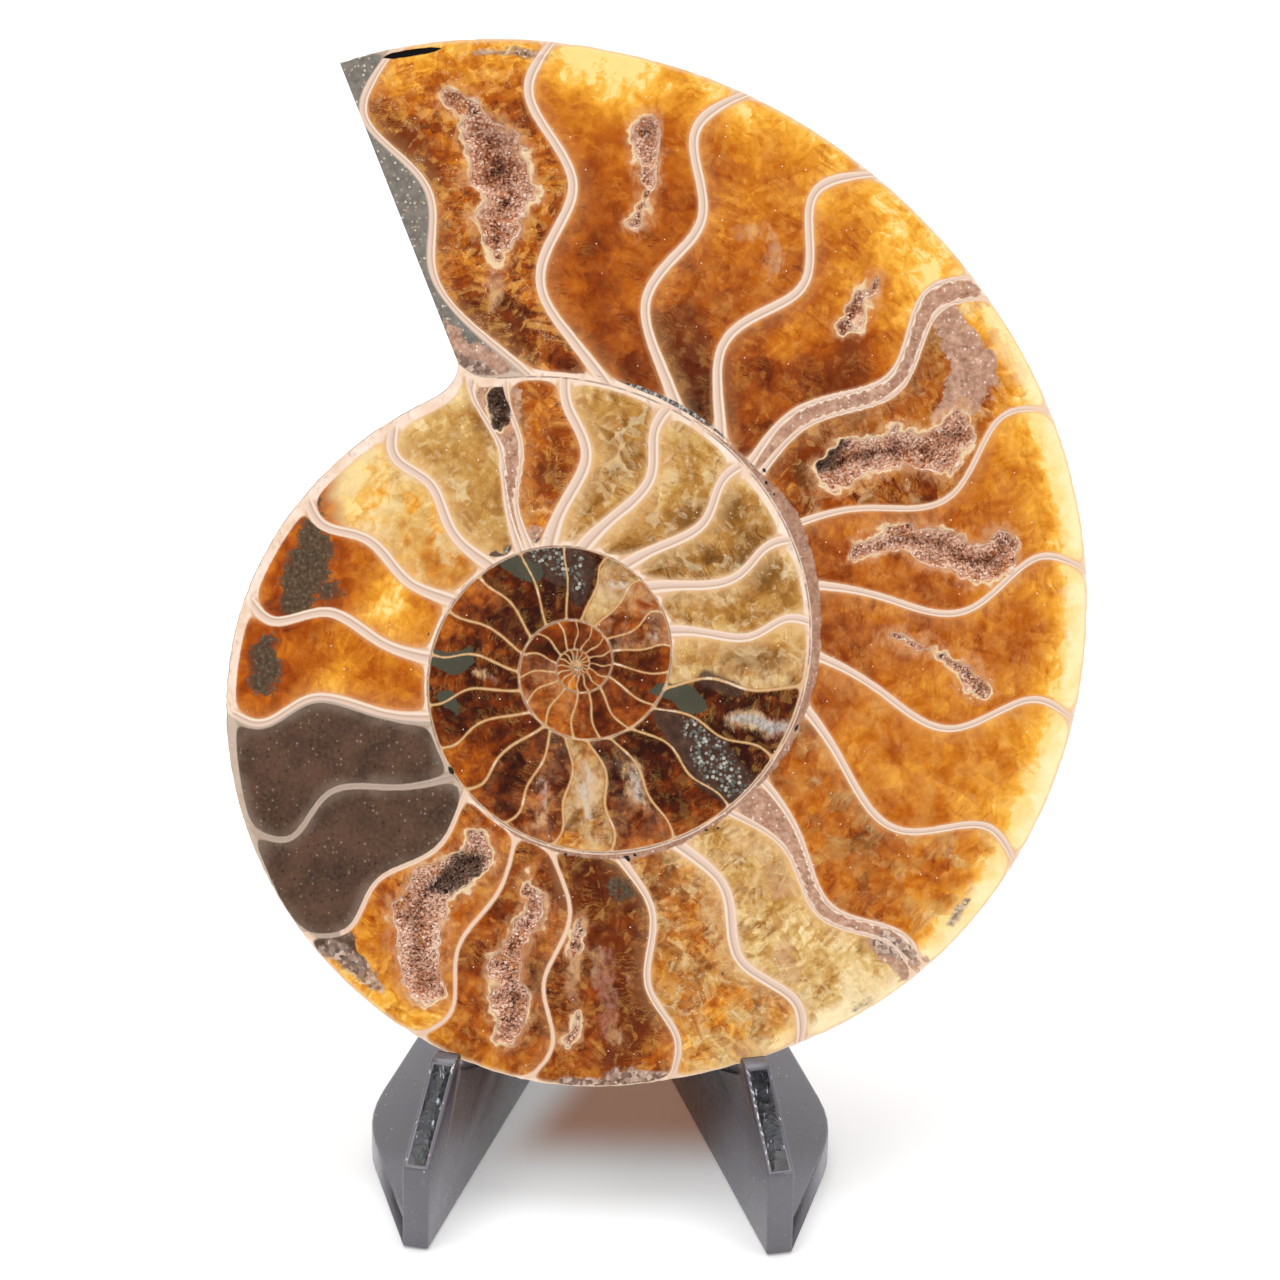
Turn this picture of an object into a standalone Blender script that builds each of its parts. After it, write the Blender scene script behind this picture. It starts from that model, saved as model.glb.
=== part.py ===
"""One polished half of an ammonite, leaning in the lips of a two-legged black display stand.

Metres, +Z up. The cut face looks towards -Y and leans back. The origin is on the floor, at the
middle of the object's bounding box.
"""

import math

import bmesh
import bpy
from mathutils import Matrix, Vector

MM = 0.001
COLLECTION = "ammonite_half_on_stand"

# The ammonite: its whorls are counted in turns, from 0 at the cut mouth inwards.
MOUTH_ANGLE = math.radians(111.5)
# Rim radius every twelfth of a turn along the outer whorl, in millimetres.
RIM_RADII = (81.0, 76.0, 70.4, 66.25, 62.1, 58.0, 53.7, 52.1, 48.75, 45.6, 42.75, 39.6, 37.6)
INNER_SHRINK = 0.84
INNER_SHRINK_MORE = 0.04
NOTCH_FILLET = 3.0 * MM
NOTCH_FILLET_TURNS = 0.006
UMBILICUS = 0.27
HALF_WIDTH = 0.205
RIM_THICKNESS = 1.8 * MM
WIDEST = 0.62
SHOULDER = 0.86
STEPS_PER_TURN = 72
BACK_TURNS = 2.5
FLANK_STATIONS = 7
UMBILICAL_STATIONS = 8

# The seat: how the ammonite stands in the lips.
LEAN = math.radians(24.0)
SEAT_TURN = math.radians(0.9)
SPIRAL_CENTRE_X = -9.9 * MM
SPIRAL_CENTRE_UP = 47.8 * MM
SEAT_GAP = 0.3 * MM

# The stand: both legs mirror each other about the plane x = STAND_X.
STAND_X = -6.2 * MM
TOE_Y = -44.0 * MM
LEG_YAW = math.radians(14.5)
INNER_HALF_WIDTH = 21.0 * MM
RIB_THICKNESS = 3.4 * MM
RIB_LENGTH = 90.0 * MM
REAR_HEIGHT = 20.0 * MM
TOE_HEIGHT = 11.2 * MM
LIP_BACK = 15.2 * MM
LIP_TOP = 20.5 * MM
LIP_DEPTH = 2.5 * MM
LIP_ROUND = 2.4 * MM
LIP_EDGE_ROUND = 0.9 * MM
GROOVE_LENGTH = 12.0 * MM
REST_HEIGHT = 66.0 * MM
REST_WIDTH = 9.0 * MM
FLANGE_THICKNESS = 4.3 * MM
FLANGE_WIDTH = 12.0 * MM
FLANGE_FRONT = 24.0 * MM
FLANGE_BACK = 60.0 * MM
FLANGE_END = 86.0 * MM
FLANGE_ROUND = 30.0 * MM
EDGE_ROUND = 0.35 * MM
MITRE_GAP = 0.15 * MM


def clear_scene():
    for obj in list(bpy.data.objects):
        bpy.data.objects.remove(obj, do_unlink=True)


def make_collection(name):
    collection = bpy.data.collections.new(name)
    bpy.context.scene.collection.children.link(collection)
    return collection


def make_material(name, colour, roughness, metallic=0.0, coat=0.0):
    material = bpy.data.materials.new(name)
    material.use_nodes = True
    shader = material.node_tree.nodes["Principled BSDF"]
    shader.inputs["Base Color"].default_value = (*colour, 1.0)
    shader.inputs["Roughness"].default_value = roughness
    shader.inputs["Metallic"].default_value = metallic
    shader.inputs["Coat Weight"].default_value = coat
    return material


# ---- the spiral

def rim_radius(turns):
    """Distance from the spiral's centre to the rim, or to the wall between whorls past one turn."""
    last = len(RIM_RADII) - 1
    if turns < 1.0:
        place = turns * last
        i = min(int(place), last - 1)
        mix = place - i
        before, here = RIM_RADII[max(i - 1, 0)], RIM_RADII[i]
        after, later = RIM_RADII[i + 1], RIM_RADII[min(i + 2, last)]
        radius = 0.5 * (
            2 * here
            + (after - before) * mix
            + (2 * before - 5 * here + 4 * after - later) * mix**2
            + (3 * here - before - 3 * after + later) * mix**3
        )
    else:
        inner = turns - 1.0
        radius = RIM_RADII[last] * math.exp(-INNER_SHRINK * inner - INNER_SHRINK_MORE * inner**2)
    bump = math.exp(-abs(turns - 1.0) / NOTCH_FILLET_TURNS)
    return radius * MM + NOTCH_FILLET * bump


def seam_radius(turns):
    """Distance from the centre to the seam where a whorl lies on the one inside it."""
    return UMBILICUS * rim_radius(turns)


def flank_height(turns, radius):
    """Height of a whorl's outer side above the cut plane."""
    rim, seam = rim_radius(turns), seam_radius(turns)
    across = min(max((rim - radius) / (rim - seam), 0.0), 1.0)
    full = HALF_WIDTH * rim
    if across < WIDEST:
        swell = 1.0 - (1.0 - across / WIDEST) ** 2.2
    else:
        swell = 1.0 - 0.08 * ((across - WIDEST) / (1.0 - WIDEST)) ** 2
    height = RIM_THICKNESS + (full - RIM_THICKNESS) * swell
    if across > SHOULDER and turns < BACK_TURNS:
        foot = flank_height(turns + 1.0, seam)
        fall = (across - SHOULDER) / (1.0 - SHOULDER)
        height += (foot - height) * fall * fall * (3.0 - 2.0 * fall)
    return height


def spiral_point(turns, radius, height):
    """A point of the ammonite: the spiral lies in the XZ plane and the back swells along +Y."""
    angle = MOUTH_ANGLE - 2.0 * math.pi * turns
    return Vector((radius * math.cos(angle), height, radius * math.sin(angle)))


def blended(outer, inner, count):
    """Places from outer to inner, both ends included."""
    return [outer + (inner - outer) * i / count for i in range(count + 1)]


def back_stations(turns):
    """Radii where the back is sampled: down the open flank, then on to the umbilical seam."""
    seam = seam_radius(turns)
    if turns > 1.0 + 1e-9:
        return blended(seam_radius(turns - 1.0), seam, UMBILICAL_STATIONS)
    rim = rim_radius(turns)
    hidden = (seam_radius(0.0) - seam_radius(1.0)) / (rim_radius(1.0) - seam_radius(1.0))
    edge = seam + hidden * (rim - seam)
    flank = [rim - (rim - edge) * (i / FLANK_STATIONS) ** 1.5 for i in range(FLANK_STATIONS)]
    return flank + blended(edge, seam, UMBILICAL_STATIONS)


def build_ammonite_mesh():
    """The back is one strip wound up the spiral; the cut face, the mouth and the rim close it."""
    bm = bmesh.new()
    rows = []
    for step in range(int(BACK_TURNS * STEPS_PER_TURN) + 1):
        turns = step / STEPS_PER_TURN
        row = []
        for place, radius in enumerate(back_stations(turns)):
            if step > STEPS_PER_TURN and place == 0:
                row.append(rows[step - STEPS_PER_TURN][-1])
                continue
            row.append(bm.verts.new(spiral_point(turns, radius, flank_height(turns, radius))))
        rows.append(row)

    # The mouth's foot and the covered whorl's edge are one corner.
    joined = rows[0][-1]
    corner = rows[STEPS_PER_TURN][FLANK_STATIONS]
    rows[STEPS_PER_TURN][FLANK_STATIONS] = joined
    bm.verts.remove(corner)

    for before, after in zip(rows, rows[1:]):
        skip = len(before) - len(after)
        for a, b, c, d in zip(before[skip:], before[skip + 1:], after[1:], after):
            bm.faces.new((a, d, c, b))

    front = []
    for step in range(STEPS_PER_TURN + 1):
        turns = step / STEPS_PER_TURN
        front.append(bm.verts.new(spiral_point(turns, rim_radius(turns), 0.0)))
    for step in range(STEPS_PER_TURN):
        bm.faces.new((front[step], front[step + 1], rows[step + 1][0], rows[step][0]))
    bm.faces.new(front)

    inner_flank = rows[STEPS_PER_TURN][:FLANK_STATIONS]
    bm.faces.new([front[0]] + rows[0] + inner_flank[::-1] + [front[-1]])

    inner_edge = [row[-1] for row in rows[-STEPS_PER_TURN - 1:]]
    bm.faces.new(inner_edge + rows[-1][1:-1][::-1])

    bmesh.ops.recalc_face_normals(bm, faces=bm.faces)
    bmesh.ops.triangulate(bm, faces=bm.faces, ngon_method="EAR_CLIP")
    mesh = bpy.data.meshes.new("ammonite_half")
    bm.to_mesh(mesh)
    bm.free()
    return mesh


def make_ammonite(collection):
    obj = bpy.data.objects.new("ammonite_half", build_ammonite_mesh())
    collection.objects.link(obj)
    seat = bpy.data.objects.new("ammonite_seat", None)
    collection.objects.link(seat)
    seat.rotation_euler = (-LEAN, 0.0, 0.0)
    seat.location = seat_place()
    obj.parent = seat
    obj.rotation_euler = (0.0, -SEAT_TURN, 0.0)
    obj.data.materials.append(make_material("polished_calcite", (0.55, 0.22, 0.05), 0.12, coat=0.6))
    obj.data.shade_smooth()
    obj.data.set_sharp_from_angle(angle=math.radians(35.0))
    return obj


# ---- the stand

def seat_place():
    """The spiral's centre: up the leaning cut face from the lips' top edge, a hair behind it."""
    lip_y = TOE_Y + LIP_BACK * math.cos(LEG_YAW) + RIB_THICKNESS * math.sin(LEG_YAW)
    lip_edge = Vector((SPIRAL_CENTRE_X, lip_y, LIP_TOP))
    up_face = Vector((0.0, math.sin(LEAN), math.cos(LEAN)))
    into_face = Vector((0.0, math.cos(LEAN), -math.sin(LEAN)))
    return lip_edge + up_face * SPIRAL_CENTRE_UP + into_face * SEAT_GAP


def rounded(points, radii, arc_steps=5):
    """The outline with each corner of a radius over zero swapped for a curve from side to side."""
    outline = []
    for i, (point, radius) in enumerate(zip(points, radii)):
        here = Vector(point)
        if radius <= 0.0:
            outline.append(here)
            continue
        to_last = (Vector(points[i - 1]) - here).normalized()
        to_next = (Vector(points[(i + 1) % len(points)]) - here).normalized()
        reach = radius / math.tan(to_last.angle(to_next) / 2.0)
        start, end = here + to_last * reach, here + to_next * reach
        for step in range(arc_steps + 1):
            mix = step / arc_steps
            first, second = start.lerp(here, mix), here.lerp(end, mix)
            outline.append(first.lerp(second, mix))
    return outline


def plate(name, outline, thickness, matrix, collection):
    """A flat outline given a thickness, as a mesh in its final place."""
    curve = bpy.data.curves.new(name, "CURVE")
    curve.dimensions = "2D"
    curve.fill_mode = "BOTH"
    curve.extrude = thickness / 2.0
    spline = curve.splines.new("POLY")
    spline.points.add(len(outline) - 1)
    for point, place in zip(spline.points, outline):
        point.co = (place[0], place[1], 0.0, 1.0)
    spline.use_cyclic_u = True
    source = bpy.data.objects.new(name + "_outline", curve)
    collection.objects.link(source)
    bpy.context.view_layer.update()
    graph = bpy.context.evaluated_depsgraph_get()
    mesh = bpy.data.meshes.new_from_object(source.evaluated_get(graph))
    bpy.data.objects.remove(source)
    bm = bmesh.new()
    bm.from_mesh(mesh)
    bmesh.ops.remove_doubles(bm, verts=bm.verts, dist=1e-6)
    bmesh.ops.transform(bm, matrix=matrix, verts=bm.verts)
    bmesh.ops.recalc_face_normals(bm, faces=bm.faces)
    bm.to_mesh(mesh)
    bm.free()
    obj = bpy.data.objects.new(name, mesh)
    collection.objects.link(obj)
    return obj


def rib_outline():
    """The rib from the side: toe, rough slope, lip, groove, back rest and rear end."""
    lean = math.tan(LEAN) / math.cos(LEG_YAW)
    fall = math.tan(LEAN) * math.cos(LEG_YAW)
    drop = LIP_DEPTH * math.cos(LEAN)
    groove_u = LIP_BACK - drop * lean
    groove_v = LIP_TOP - drop
    rest_u = groove_u + GROOVE_LENGTH
    rest_v = groove_v - GROOVE_LENGTH * fall
    top_u = rest_u + (REST_HEIGHT - rest_v) * lean
    points = [
        (0.0, 0.0),
        (0.0, TOE_HEIGHT),
        (LIP_BACK - 2.6 * MM, LIP_TOP - 0.4 * MM),
        (LIP_BACK, LIP_TOP),
        (groove_u, groove_v),
        (rest_u, rest_v),
        (top_u, REST_HEIGHT),
        (top_u + REST_WIDTH, REST_HEIGHT - 3.0 * MM),
        (RIB_LENGTH - 14.0 * MM, REAR_HEIGHT),
        (RIB_LENGTH, REAR_HEIGHT),
        (RIB_LENGTH, 0.0),
    ]
    radii = [0.0, 0.0, LIP_ROUND, LIP_EDGE_ROUND, 0.6 * MM, 2.0 * MM, 3.0 * MM, 3.0 * MM, 8.0 * MM, 0.0, 0.0]
    return rounded(points, radii)


def flange_outline():
    """The foot flange from above: u along the rib, w outwards from the middle of the rib."""
    outer = FLANGE_WIDTH + RIB_THICKNESS / 2.0
    near = RIB_THICKNESS / 2.0
    points = [
        (0.0, 0.0),
        (FLANGE_END, 0.0),
        (FLANGE_END, near),
        (FLANGE_BACK, outer),
        (FLANGE_FRONT, outer),
        (0.3 * MM, near),
    ]
    radii = [0.0, 0.0, 0.0, FLANGE_ROUND, FLANGE_ROUND, 0.0]
    return rounded(points, radii)


def add_modifier(obj, name, kind, **settings):
    modifier = obj.modifiers.new(name, kind)
    for key, value in settings.items():
        setattr(modifier, key, value)
    return modifier


def make_left_leg(collection, cutters):
    along = Vector((math.sin(LEG_YAW), math.cos(LEG_YAW), 0.0))
    inward = Vector((math.cos(LEG_YAW), -math.sin(LEG_YAW), 0.0))
    up = Vector((0.0, 0.0, 1.0))
    middle = Vector((STAND_X - INNER_HALF_WIDTH, TOE_Y, 0.0)) - inward * RIB_THICKNESS / 2.0

    upright = Matrix.Translation(middle) @ Matrix((along, up, inward)).transposed().to_4x4()
    rib = plate("stand_leg_left", rib_outline(), RIB_THICKNESS, upright, collection)

    lying = Matrix.Translation(middle + up * FLANGE_THICKNESS / 2.0)
    lying @= Matrix((along, -inward, up)).transposed().to_4x4()
    flange = plate("left_flange", flange_outline(), FLANGE_THICKNESS, lying, cutters)

    bpy.ops.mesh.primitive_cube_add(size=1.0)
    mitre = bpy.context.object
    mitre.name = "mitre_cutter"
    for holder in list(mitre.users_collection):
        holder.objects.unlink(mitre)
    cutters.objects.link(mitre)
    mitre.scale = (60.0 * MM, 200.0 * MM, 120.0 * MM)
    mitre.location = (STAND_X - MITRE_GAP + 30.0 * MM, 0.0, 40.0 * MM)
    for helper in (flange, mitre):
        helper.hide_render = True
        helper.display_type = "WIRE"

    add_modifier(rib, "flange", "BOOLEAN", operation="UNION", solver="EXACT", object=flange)
    add_modifier(rib, "mitre", "BOOLEAN", operation="DIFFERENCE", solver="EXACT", object=mitre)
    return rib


def make_stand(collection, cutters):
    left = make_left_leg(collection, cutters)
    bpy.context.view_layer.update()
    graph = bpy.context.evaluated_depsgraph_get()
    mesh = bpy.data.meshes.new_from_object(left.evaluated_get(graph))
    left.modifiers.clear()
    left.data = mesh

    bm = bmesh.new()
    bm.from_mesh(mesh)
    bmesh.ops.remove_doubles(bm, verts=bm.verts, dist=2e-6)
    bmesh.ops.dissolve_limit(bm, verts=bm.verts, edges=bm.edges, angle_limit=math.radians(0.5))
    bm.to_mesh(mesh)
    mirror = Matrix.Translation((STAND_X, 0.0, 0.0)) @ Matrix.Scale(-1.0, 4, (1.0, 0.0, 0.0))
    bmesh.ops.transform(bm, matrix=mirror @ Matrix.Translation((-STAND_X, 0.0, 0.0)), verts=bm.verts)
    bmesh.ops.reverse_faces(bm, faces=bm.faces)
    mirrored = bpy.data.meshes.new("stand_leg_right")
    bm.to_mesh(mirrored)
    bm.free()
    right = bpy.data.objects.new("stand_leg_right", mirrored)
    collection.objects.link(right)

    plastic = make_material("black_plastic", (0.02, 0.021, 0.024), 0.22)
    for leg in (left, right):
        leg.data.materials.clear()
        leg.data.materials.append(plastic)
        leg.data.shade_smooth()
        leg.data.set_sharp_from_angle(angle=math.radians(30.0))
        add_modifier(leg, "rounded_edges", "BEVEL", width=EDGE_ROUND, segments=2, limit_method="ANGLE",
                     angle_limit=math.radians(30.0), use_clamp_overlap=False)


def main():
    clear_scene()
    collection = make_collection(COLLECTION)
    cutters = make_collection("cutters")
    make_ammonite(collection)
    make_stand(collection, cutters)


main()
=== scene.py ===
"""The looks of the polished ammonite half and its stand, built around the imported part."""

import math
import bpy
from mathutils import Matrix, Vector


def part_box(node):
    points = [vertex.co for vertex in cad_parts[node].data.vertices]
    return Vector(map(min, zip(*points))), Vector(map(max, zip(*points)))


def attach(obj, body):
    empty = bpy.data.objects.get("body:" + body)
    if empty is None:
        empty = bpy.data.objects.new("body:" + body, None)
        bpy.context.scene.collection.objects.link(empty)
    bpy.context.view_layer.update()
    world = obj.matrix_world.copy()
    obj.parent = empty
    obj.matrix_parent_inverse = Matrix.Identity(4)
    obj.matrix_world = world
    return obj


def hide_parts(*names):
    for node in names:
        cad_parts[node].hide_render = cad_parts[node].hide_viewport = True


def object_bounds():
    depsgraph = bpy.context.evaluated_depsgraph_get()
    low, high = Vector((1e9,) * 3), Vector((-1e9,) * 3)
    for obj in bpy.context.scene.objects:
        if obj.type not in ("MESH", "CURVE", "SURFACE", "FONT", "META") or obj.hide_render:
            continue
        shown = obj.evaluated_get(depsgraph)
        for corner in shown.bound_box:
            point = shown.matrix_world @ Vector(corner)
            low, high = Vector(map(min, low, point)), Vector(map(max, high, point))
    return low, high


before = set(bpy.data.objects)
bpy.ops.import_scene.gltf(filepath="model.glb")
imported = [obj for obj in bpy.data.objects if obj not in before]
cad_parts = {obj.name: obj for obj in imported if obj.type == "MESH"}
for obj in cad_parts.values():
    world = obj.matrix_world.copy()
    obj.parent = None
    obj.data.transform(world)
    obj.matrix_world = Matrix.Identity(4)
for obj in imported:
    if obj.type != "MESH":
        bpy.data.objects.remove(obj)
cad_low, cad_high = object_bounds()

from types import SimpleNamespace

import bmesh
import bpy
import numpy as np
from mathutils import Matrix, Vector, noise

MM = 0.001
RANDOM = np.random.default_rng(11)

# ---- the spiral, as the part has it: turns count from the cut mouth inwards, lengths are millimetres

MOUTH_ANGLE = 111.5
RIM_RADII = np.array((81.0, 76.0, 70.4, 66.25, 62.1, 58.0, 53.7, 52.1, 48.75, 45.6, 42.75, 39.6, 37.6))
INNER_SHRINK = 0.84
INNER_SHRINK_MORE = 0.04
NOTCH_FILLET = 3.0
NOTCH_FILLET_TURNS = 0.006
UMBILICUS = 0.27
HALF_WIDTH = 0.205
RIM_THICKNESS = 1.8
WIDEST = 0.62
FLANK_CURVE = 2.2
FLANK_DROP = 0.08
SHOULDER = 0.86
BACK_TURNS = 2.5
LEAN = math.radians(24.0)
SEAT_TURN = math.radians(0.9)


def eased(value, low, high):
    """0 at low and 1 at high, eased."""
    x = np.clip((value - low) / (high - low), 0.0, 1.0)
    return x * x * (3.0 - 2.0 * x)


def rim_radius(turns):
    """Distance from the centre to the rim, or to the wall between whorls past one turn."""
    turns = np.asarray(turns, float)
    last = len(RIM_RADII) - 1
    place = np.clip(turns, 0.0, 1.0) * last
    i = np.minimum(place.astype(int), last - 1)
    mix = place - i
    before, here = RIM_RADII[np.maximum(i - 1, 0)], RIM_RADII[i]
    after, later = RIM_RADII[i + 1], RIM_RADII[np.minimum(i + 2, last)]
    outer = 0.5 * (
        2 * here
        + (after - before) * mix
        + (2 * before - 5 * here + 4 * after - later) * mix**2
        + (3 * here - before - 3 * after + later) * mix**3
    )
    inner = np.maximum(turns - 1.0, 0.0)
    wound = RIM_RADII[last] * np.exp(-INNER_SHRINK * inner - INNER_SHRINK_MORE * inner**2)
    bump = NOTCH_FILLET * np.exp(-np.abs(turns - 1.0) / NOTCH_FILLET_TURNS)
    return np.where(turns < 1.0, outer, wound) + bump


def flank_height(turns, radius):
    """Height of a whorl's outer side above the cut plane."""
    rim = rim_radius(turns)
    seam = UMBILICUS * rim
    across = np.clip((rim - radius) / (rim - seam), 0.0, 1.0)
    rising = 1.0 - (1.0 - np.minimum(across / WIDEST, 1.0)) ** FLANK_CURVE
    falling = 1.0 - FLANK_DROP * ((across - WIDEST) / (1.0 - WIDEST)) ** 2
    swell = np.where(across < WIDEST, rising, falling)
    height = RIM_THICKNESS + (HALF_WIDTH * rim - RIM_THICKNESS) * swell
    if np.min(turns) < BACK_TURNS + 1.0:
        fall = (flank_height(turns + 1.0, seam) - height) * eased(across, SHOULDER, 1.0)
        height = height + np.where(np.asarray(turns) < BACK_TURNS, fall, 0.0)
    return height


def spiral_places(turns, radius, height):
    """Points in the ammonite's own millimetres: the cut is the XZ plane, the back swells along +Y."""
    angle = np.radians(MOUTH_ANGLE) - 2.0 * np.pi * np.asarray(turns)
    return np.stack((radius * np.cos(angle), height + 0.0 * angle, radius * np.sin(angle)), axis=-1)


def face_radius(turns, down):
    """Radius of a point of the cut face, down being 0 at a whorl's outer wall and 1 at its inner."""
    return rim_radius(turns) * (1.0 - down) + rim_radius(np.asarray(turns) + 1.0) * down


# ---- the septa and what fills the chambers between them

# Where along a septum its swings are given: outer wall, lobe, valley, belly and foot.
SWING_PLACES = np.array((0.0, 0.17, 0.42, 0.75, 1.0))

# Each septum: whorl, degrees where it meets the outer wall, swing in degrees of its lobe, valley, belly
# and foot. Then in hundredths: half its thickness in millimetres, and for the chamber after it the tone of
# the calcite at the outer wall, above the middle, below it and at the foot, how olive, milky and coarse.
SEPTA = (
    (0, 106.5, 4.7, 1, 3.4, -7.3, 50, 74, 48, 45, 32, 15, 5, 70),
    (0, 92.3, 2.5, -1.8, 3, -8.3, 62, 88, 56, 46, 40, 0, 5, 25),
    (0, 73.5, 4, 0.9, 5.6, -5.5, 62, 80, 62, 47, 13, 5, 12, 35),
    (0, 59, 4.3, 0.3, 6.5, -2, 60, 88, 68, 44, 28, 20, 5, 35),
    (0, 44.3, 2.5, -1.5, 5, 5, 44, 60, 60, 60, 60, 0, 0, 0),
    (0, 41.9, 2.6, -1.2, 4.4, 4.2, 38, 88, 50, 42, 34, 35, 0, 50),
    (0, 28.3, 2, -3.8, 1, 5, 36, 95, 60, 50, 42, 10, 14, 32),
    (0, 10.5, 2.7, -2.3, 2.5, 9, 42, 95, 61, 56, 43, 14, 18, 32),
    (0, -6.3, 2, -3.2, 2.3, 9.3, 44, 95, 70, 64, 50, 22, 26, 25),
    (0, -24.3, 2.8, -2.5, 3.5, 15, 46, 94, 58, 52, 42, 35, 15, 40),
    (0, -41.5, 1.8, -2, 4.5, 10, 38, 60, 60, 60, 60, 0, 0, 0),
    (0, -42.6, 1.1, -3.2, 1.4, -1.5, 34, 88, 76, 70, 66, 80, 45, 90),
    (0, -59.5, 2.5, -1.5, 3, -2, 68, 72, 63, 56, 42, 45, 18, 80),
    (0, -77.3, 2.3, -0.2, 4.3, -1, 44, 44, 33, 27, 22, 0, 5, 48),
    (0, -97, 3.3, 1, 5.3, -2, 24, 48, 37, 34, 28, 0, 10, 45),
    (0, -113.5, 3.5, 0.7, 4.5, 3.5, 24, 74, 58, 50, 44, 12, 10, 50),
    (0, -135.5, 4.5, 2.7, 8.2, 4, 30, 30, 30, 30, 30, 0, 0, 0),
    (0, -154, 5, 1.3, 8.5, 16, 36, 30, 30, 30, 30, 0, 0, 0),
    (0, -173, 3.5, 0.2, 6.3, 13, 64, 48, 54, 60, 57, 5, 0, 30),
    (0, -192.5, 4.2, 0.5, 6, 9.5, 64, 52, 50, 74, 60, 10, 10, 30),
    (0, -212.5, 3.5, 1.5, 6.2, 5, 66, 99, 90, 82, 70, 48, 20, 32),
    (0, -234, 5, 3, 7.3, 5, 68, 82, 70, 64, 66, 72, 15, 50),
    (1, 109.5, 1.6, -0.2, 4.4, 7, 42, 60, 60, 60, 60, 0, 0, 0),
    (1, 104, 0.8, 0.6, 7, 8, 36, 58, 55, 48, 50, 25, 10, 60),
    (1, 92.5, -0.5, -5, 2, 11, 74, 63, 59, 54, 48, 75, 8, 55),
    (1, 70.5, 1.2, -1.8, 5, 17, 70, 68, 62, 56, 50, 85, 8, 60),
    (1, 50.5, 1.3, -2, 4, 14, 62, 60, 56, 50, 40, 85, 0, 60),
    (1, 30.5, 1.5, -1.2, 4.5, 17, 60, 60, 58, 52, 46, 80, 5, 60),
    (1, 10.5, 2, -1, 3.5, 10, 58, 62, 66, 60, 60, 75, 40, 60),
    (1, -5, -1.5, -3, -1, -10, 22, 10, 12, 12, 16, 20, 0, 40),
    (1, -25.5, 1.5, -1, 1.5, -4, 16, 12, 12, 12, 20, 10, 0, 40),
    (1, -43, 0.7, -1.2, 2, -7, 16, 44, 14, 10, 8, 10, 0, 30),
    (1, -61, 1.2, -0.3, 1.8, -5, 17, 44, 26, 18, 12, 0, 20, 40),
    (1, -80, 2.7, 1.2, 5, -3, 18, 70, 62, 55, 60, 55, 75, 50),
    (1, -98, 3, 2.2, 5.5, -2, 18, 44, 32, 20, 14, 0, 20, 40),
    (1, -115, 3.5, 2.5, 5.5, 2, 18, 40, 24, 16, 12, 0, 5, 30),
    (1, -132, 3.3, 1.7, 5.3, 14, 20, 46, 42, 26, 16, 10, 0, 30),
    (1, -149, 2, -0.3, 4.3, 14, 18, 28, 22, 18, 14, 20, 0, 30),
    (1, -165, 0.5, -2.5, 2, 9, 18, 22, 22, 16, 12, 15, 0, 30),
    (1, -184.5, 1, -1.5, 3, 11, 18, 36, 32, 24, 18, 5, 0, 30),
    (1, -203, 1, -0.3, 3, 11, 18, 40, 34, 26, 20, 5, 5, 30),
    (1, -222.5, 1, -0.8, 3, 12, 17, 12, 14, 12, 10, 20, 0, 30),
    (1, -243, 0, 0, 4.5, 11, 16, 8, 8, 8, 8, 10, 0, 30),
    (2, 96.2, 0.5, 0, 3, 7, 14, 8, 8, 8, 12, 10, 0, 30),
    (2, 74, 3, 2, 6, 11, 14, 52, 62, 66, 60, 75, 80, 50),
    (2, 53, 3.5, 2.5, 6, 13, 14, 48, 52, 42, 32, 30, 55, 30),
    (2, 31, 5, 2, 3, 11, 14, 47, 38, 32, 22, 10, 45, 40),
    (2, 11.4, 2.5, 2, 6, 11.5, 14, 28, 16, 18, 14, 0, 0, 20),
    (2, -3.6, -2, -2.5, 1.5, 7, 14, 34, 26, 22, 18, 0, 0, 20),
    (2, -27, -1.5, -1.5, 3, 8, 14, 42, 34, 28, 26, 0, 5, 20),
    (2, -50.6, -2, -4, 1, 7, 14, 32, 26, 28, 26, 0, 0, 20),
    (2, -72.5, -1.5, -2.5, 2.5, 6, 14, 50, 44, 38, 38, 5, 15, 30),
    (2, -92.6, -2, -3.5, 1, 4, 14, 50, 46, 38, 32, 15, 20, 30),
    (2, -117.5, -3, -6, -3, 0, 13, 52, 44, 38, 38, 20, 35, 30),
    (2, -143, -3, -6.5, -3, 2, 13, 46, 38, 38, 32, 20, 40, 30),
    (2, -167.8, -2, -5, -1, 5, 12, 42, 36, 28, 24, 10, 25, 20),
    (2, -191, -3, -6, -1, 5, 12, 28, 22, 18, 18, 0, 0, 20),
    (2, -218, -3, -5, 0, 6, 12, 36, 32, 26, 22, 0, 0, 20),
    (2, -245.5, -2, -3, 2, 8, 11, 42, 36, 30, 26, 0, 0, 20),
)
ROW_UNITS = np.array((1.0,) * 6 + (100.0,) * 8)

# The innermost whorls follow one rule: a row like those above, from the lobe's swing on.
INNER_SPACING = 22.5
INNER_SEPTA = 48
INNER_ROW = (-1.5, -4, 3, 8, 8, 44, 36, 30, 28, 5, 5, 20)
INNER_THINNING = 0.75


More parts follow.
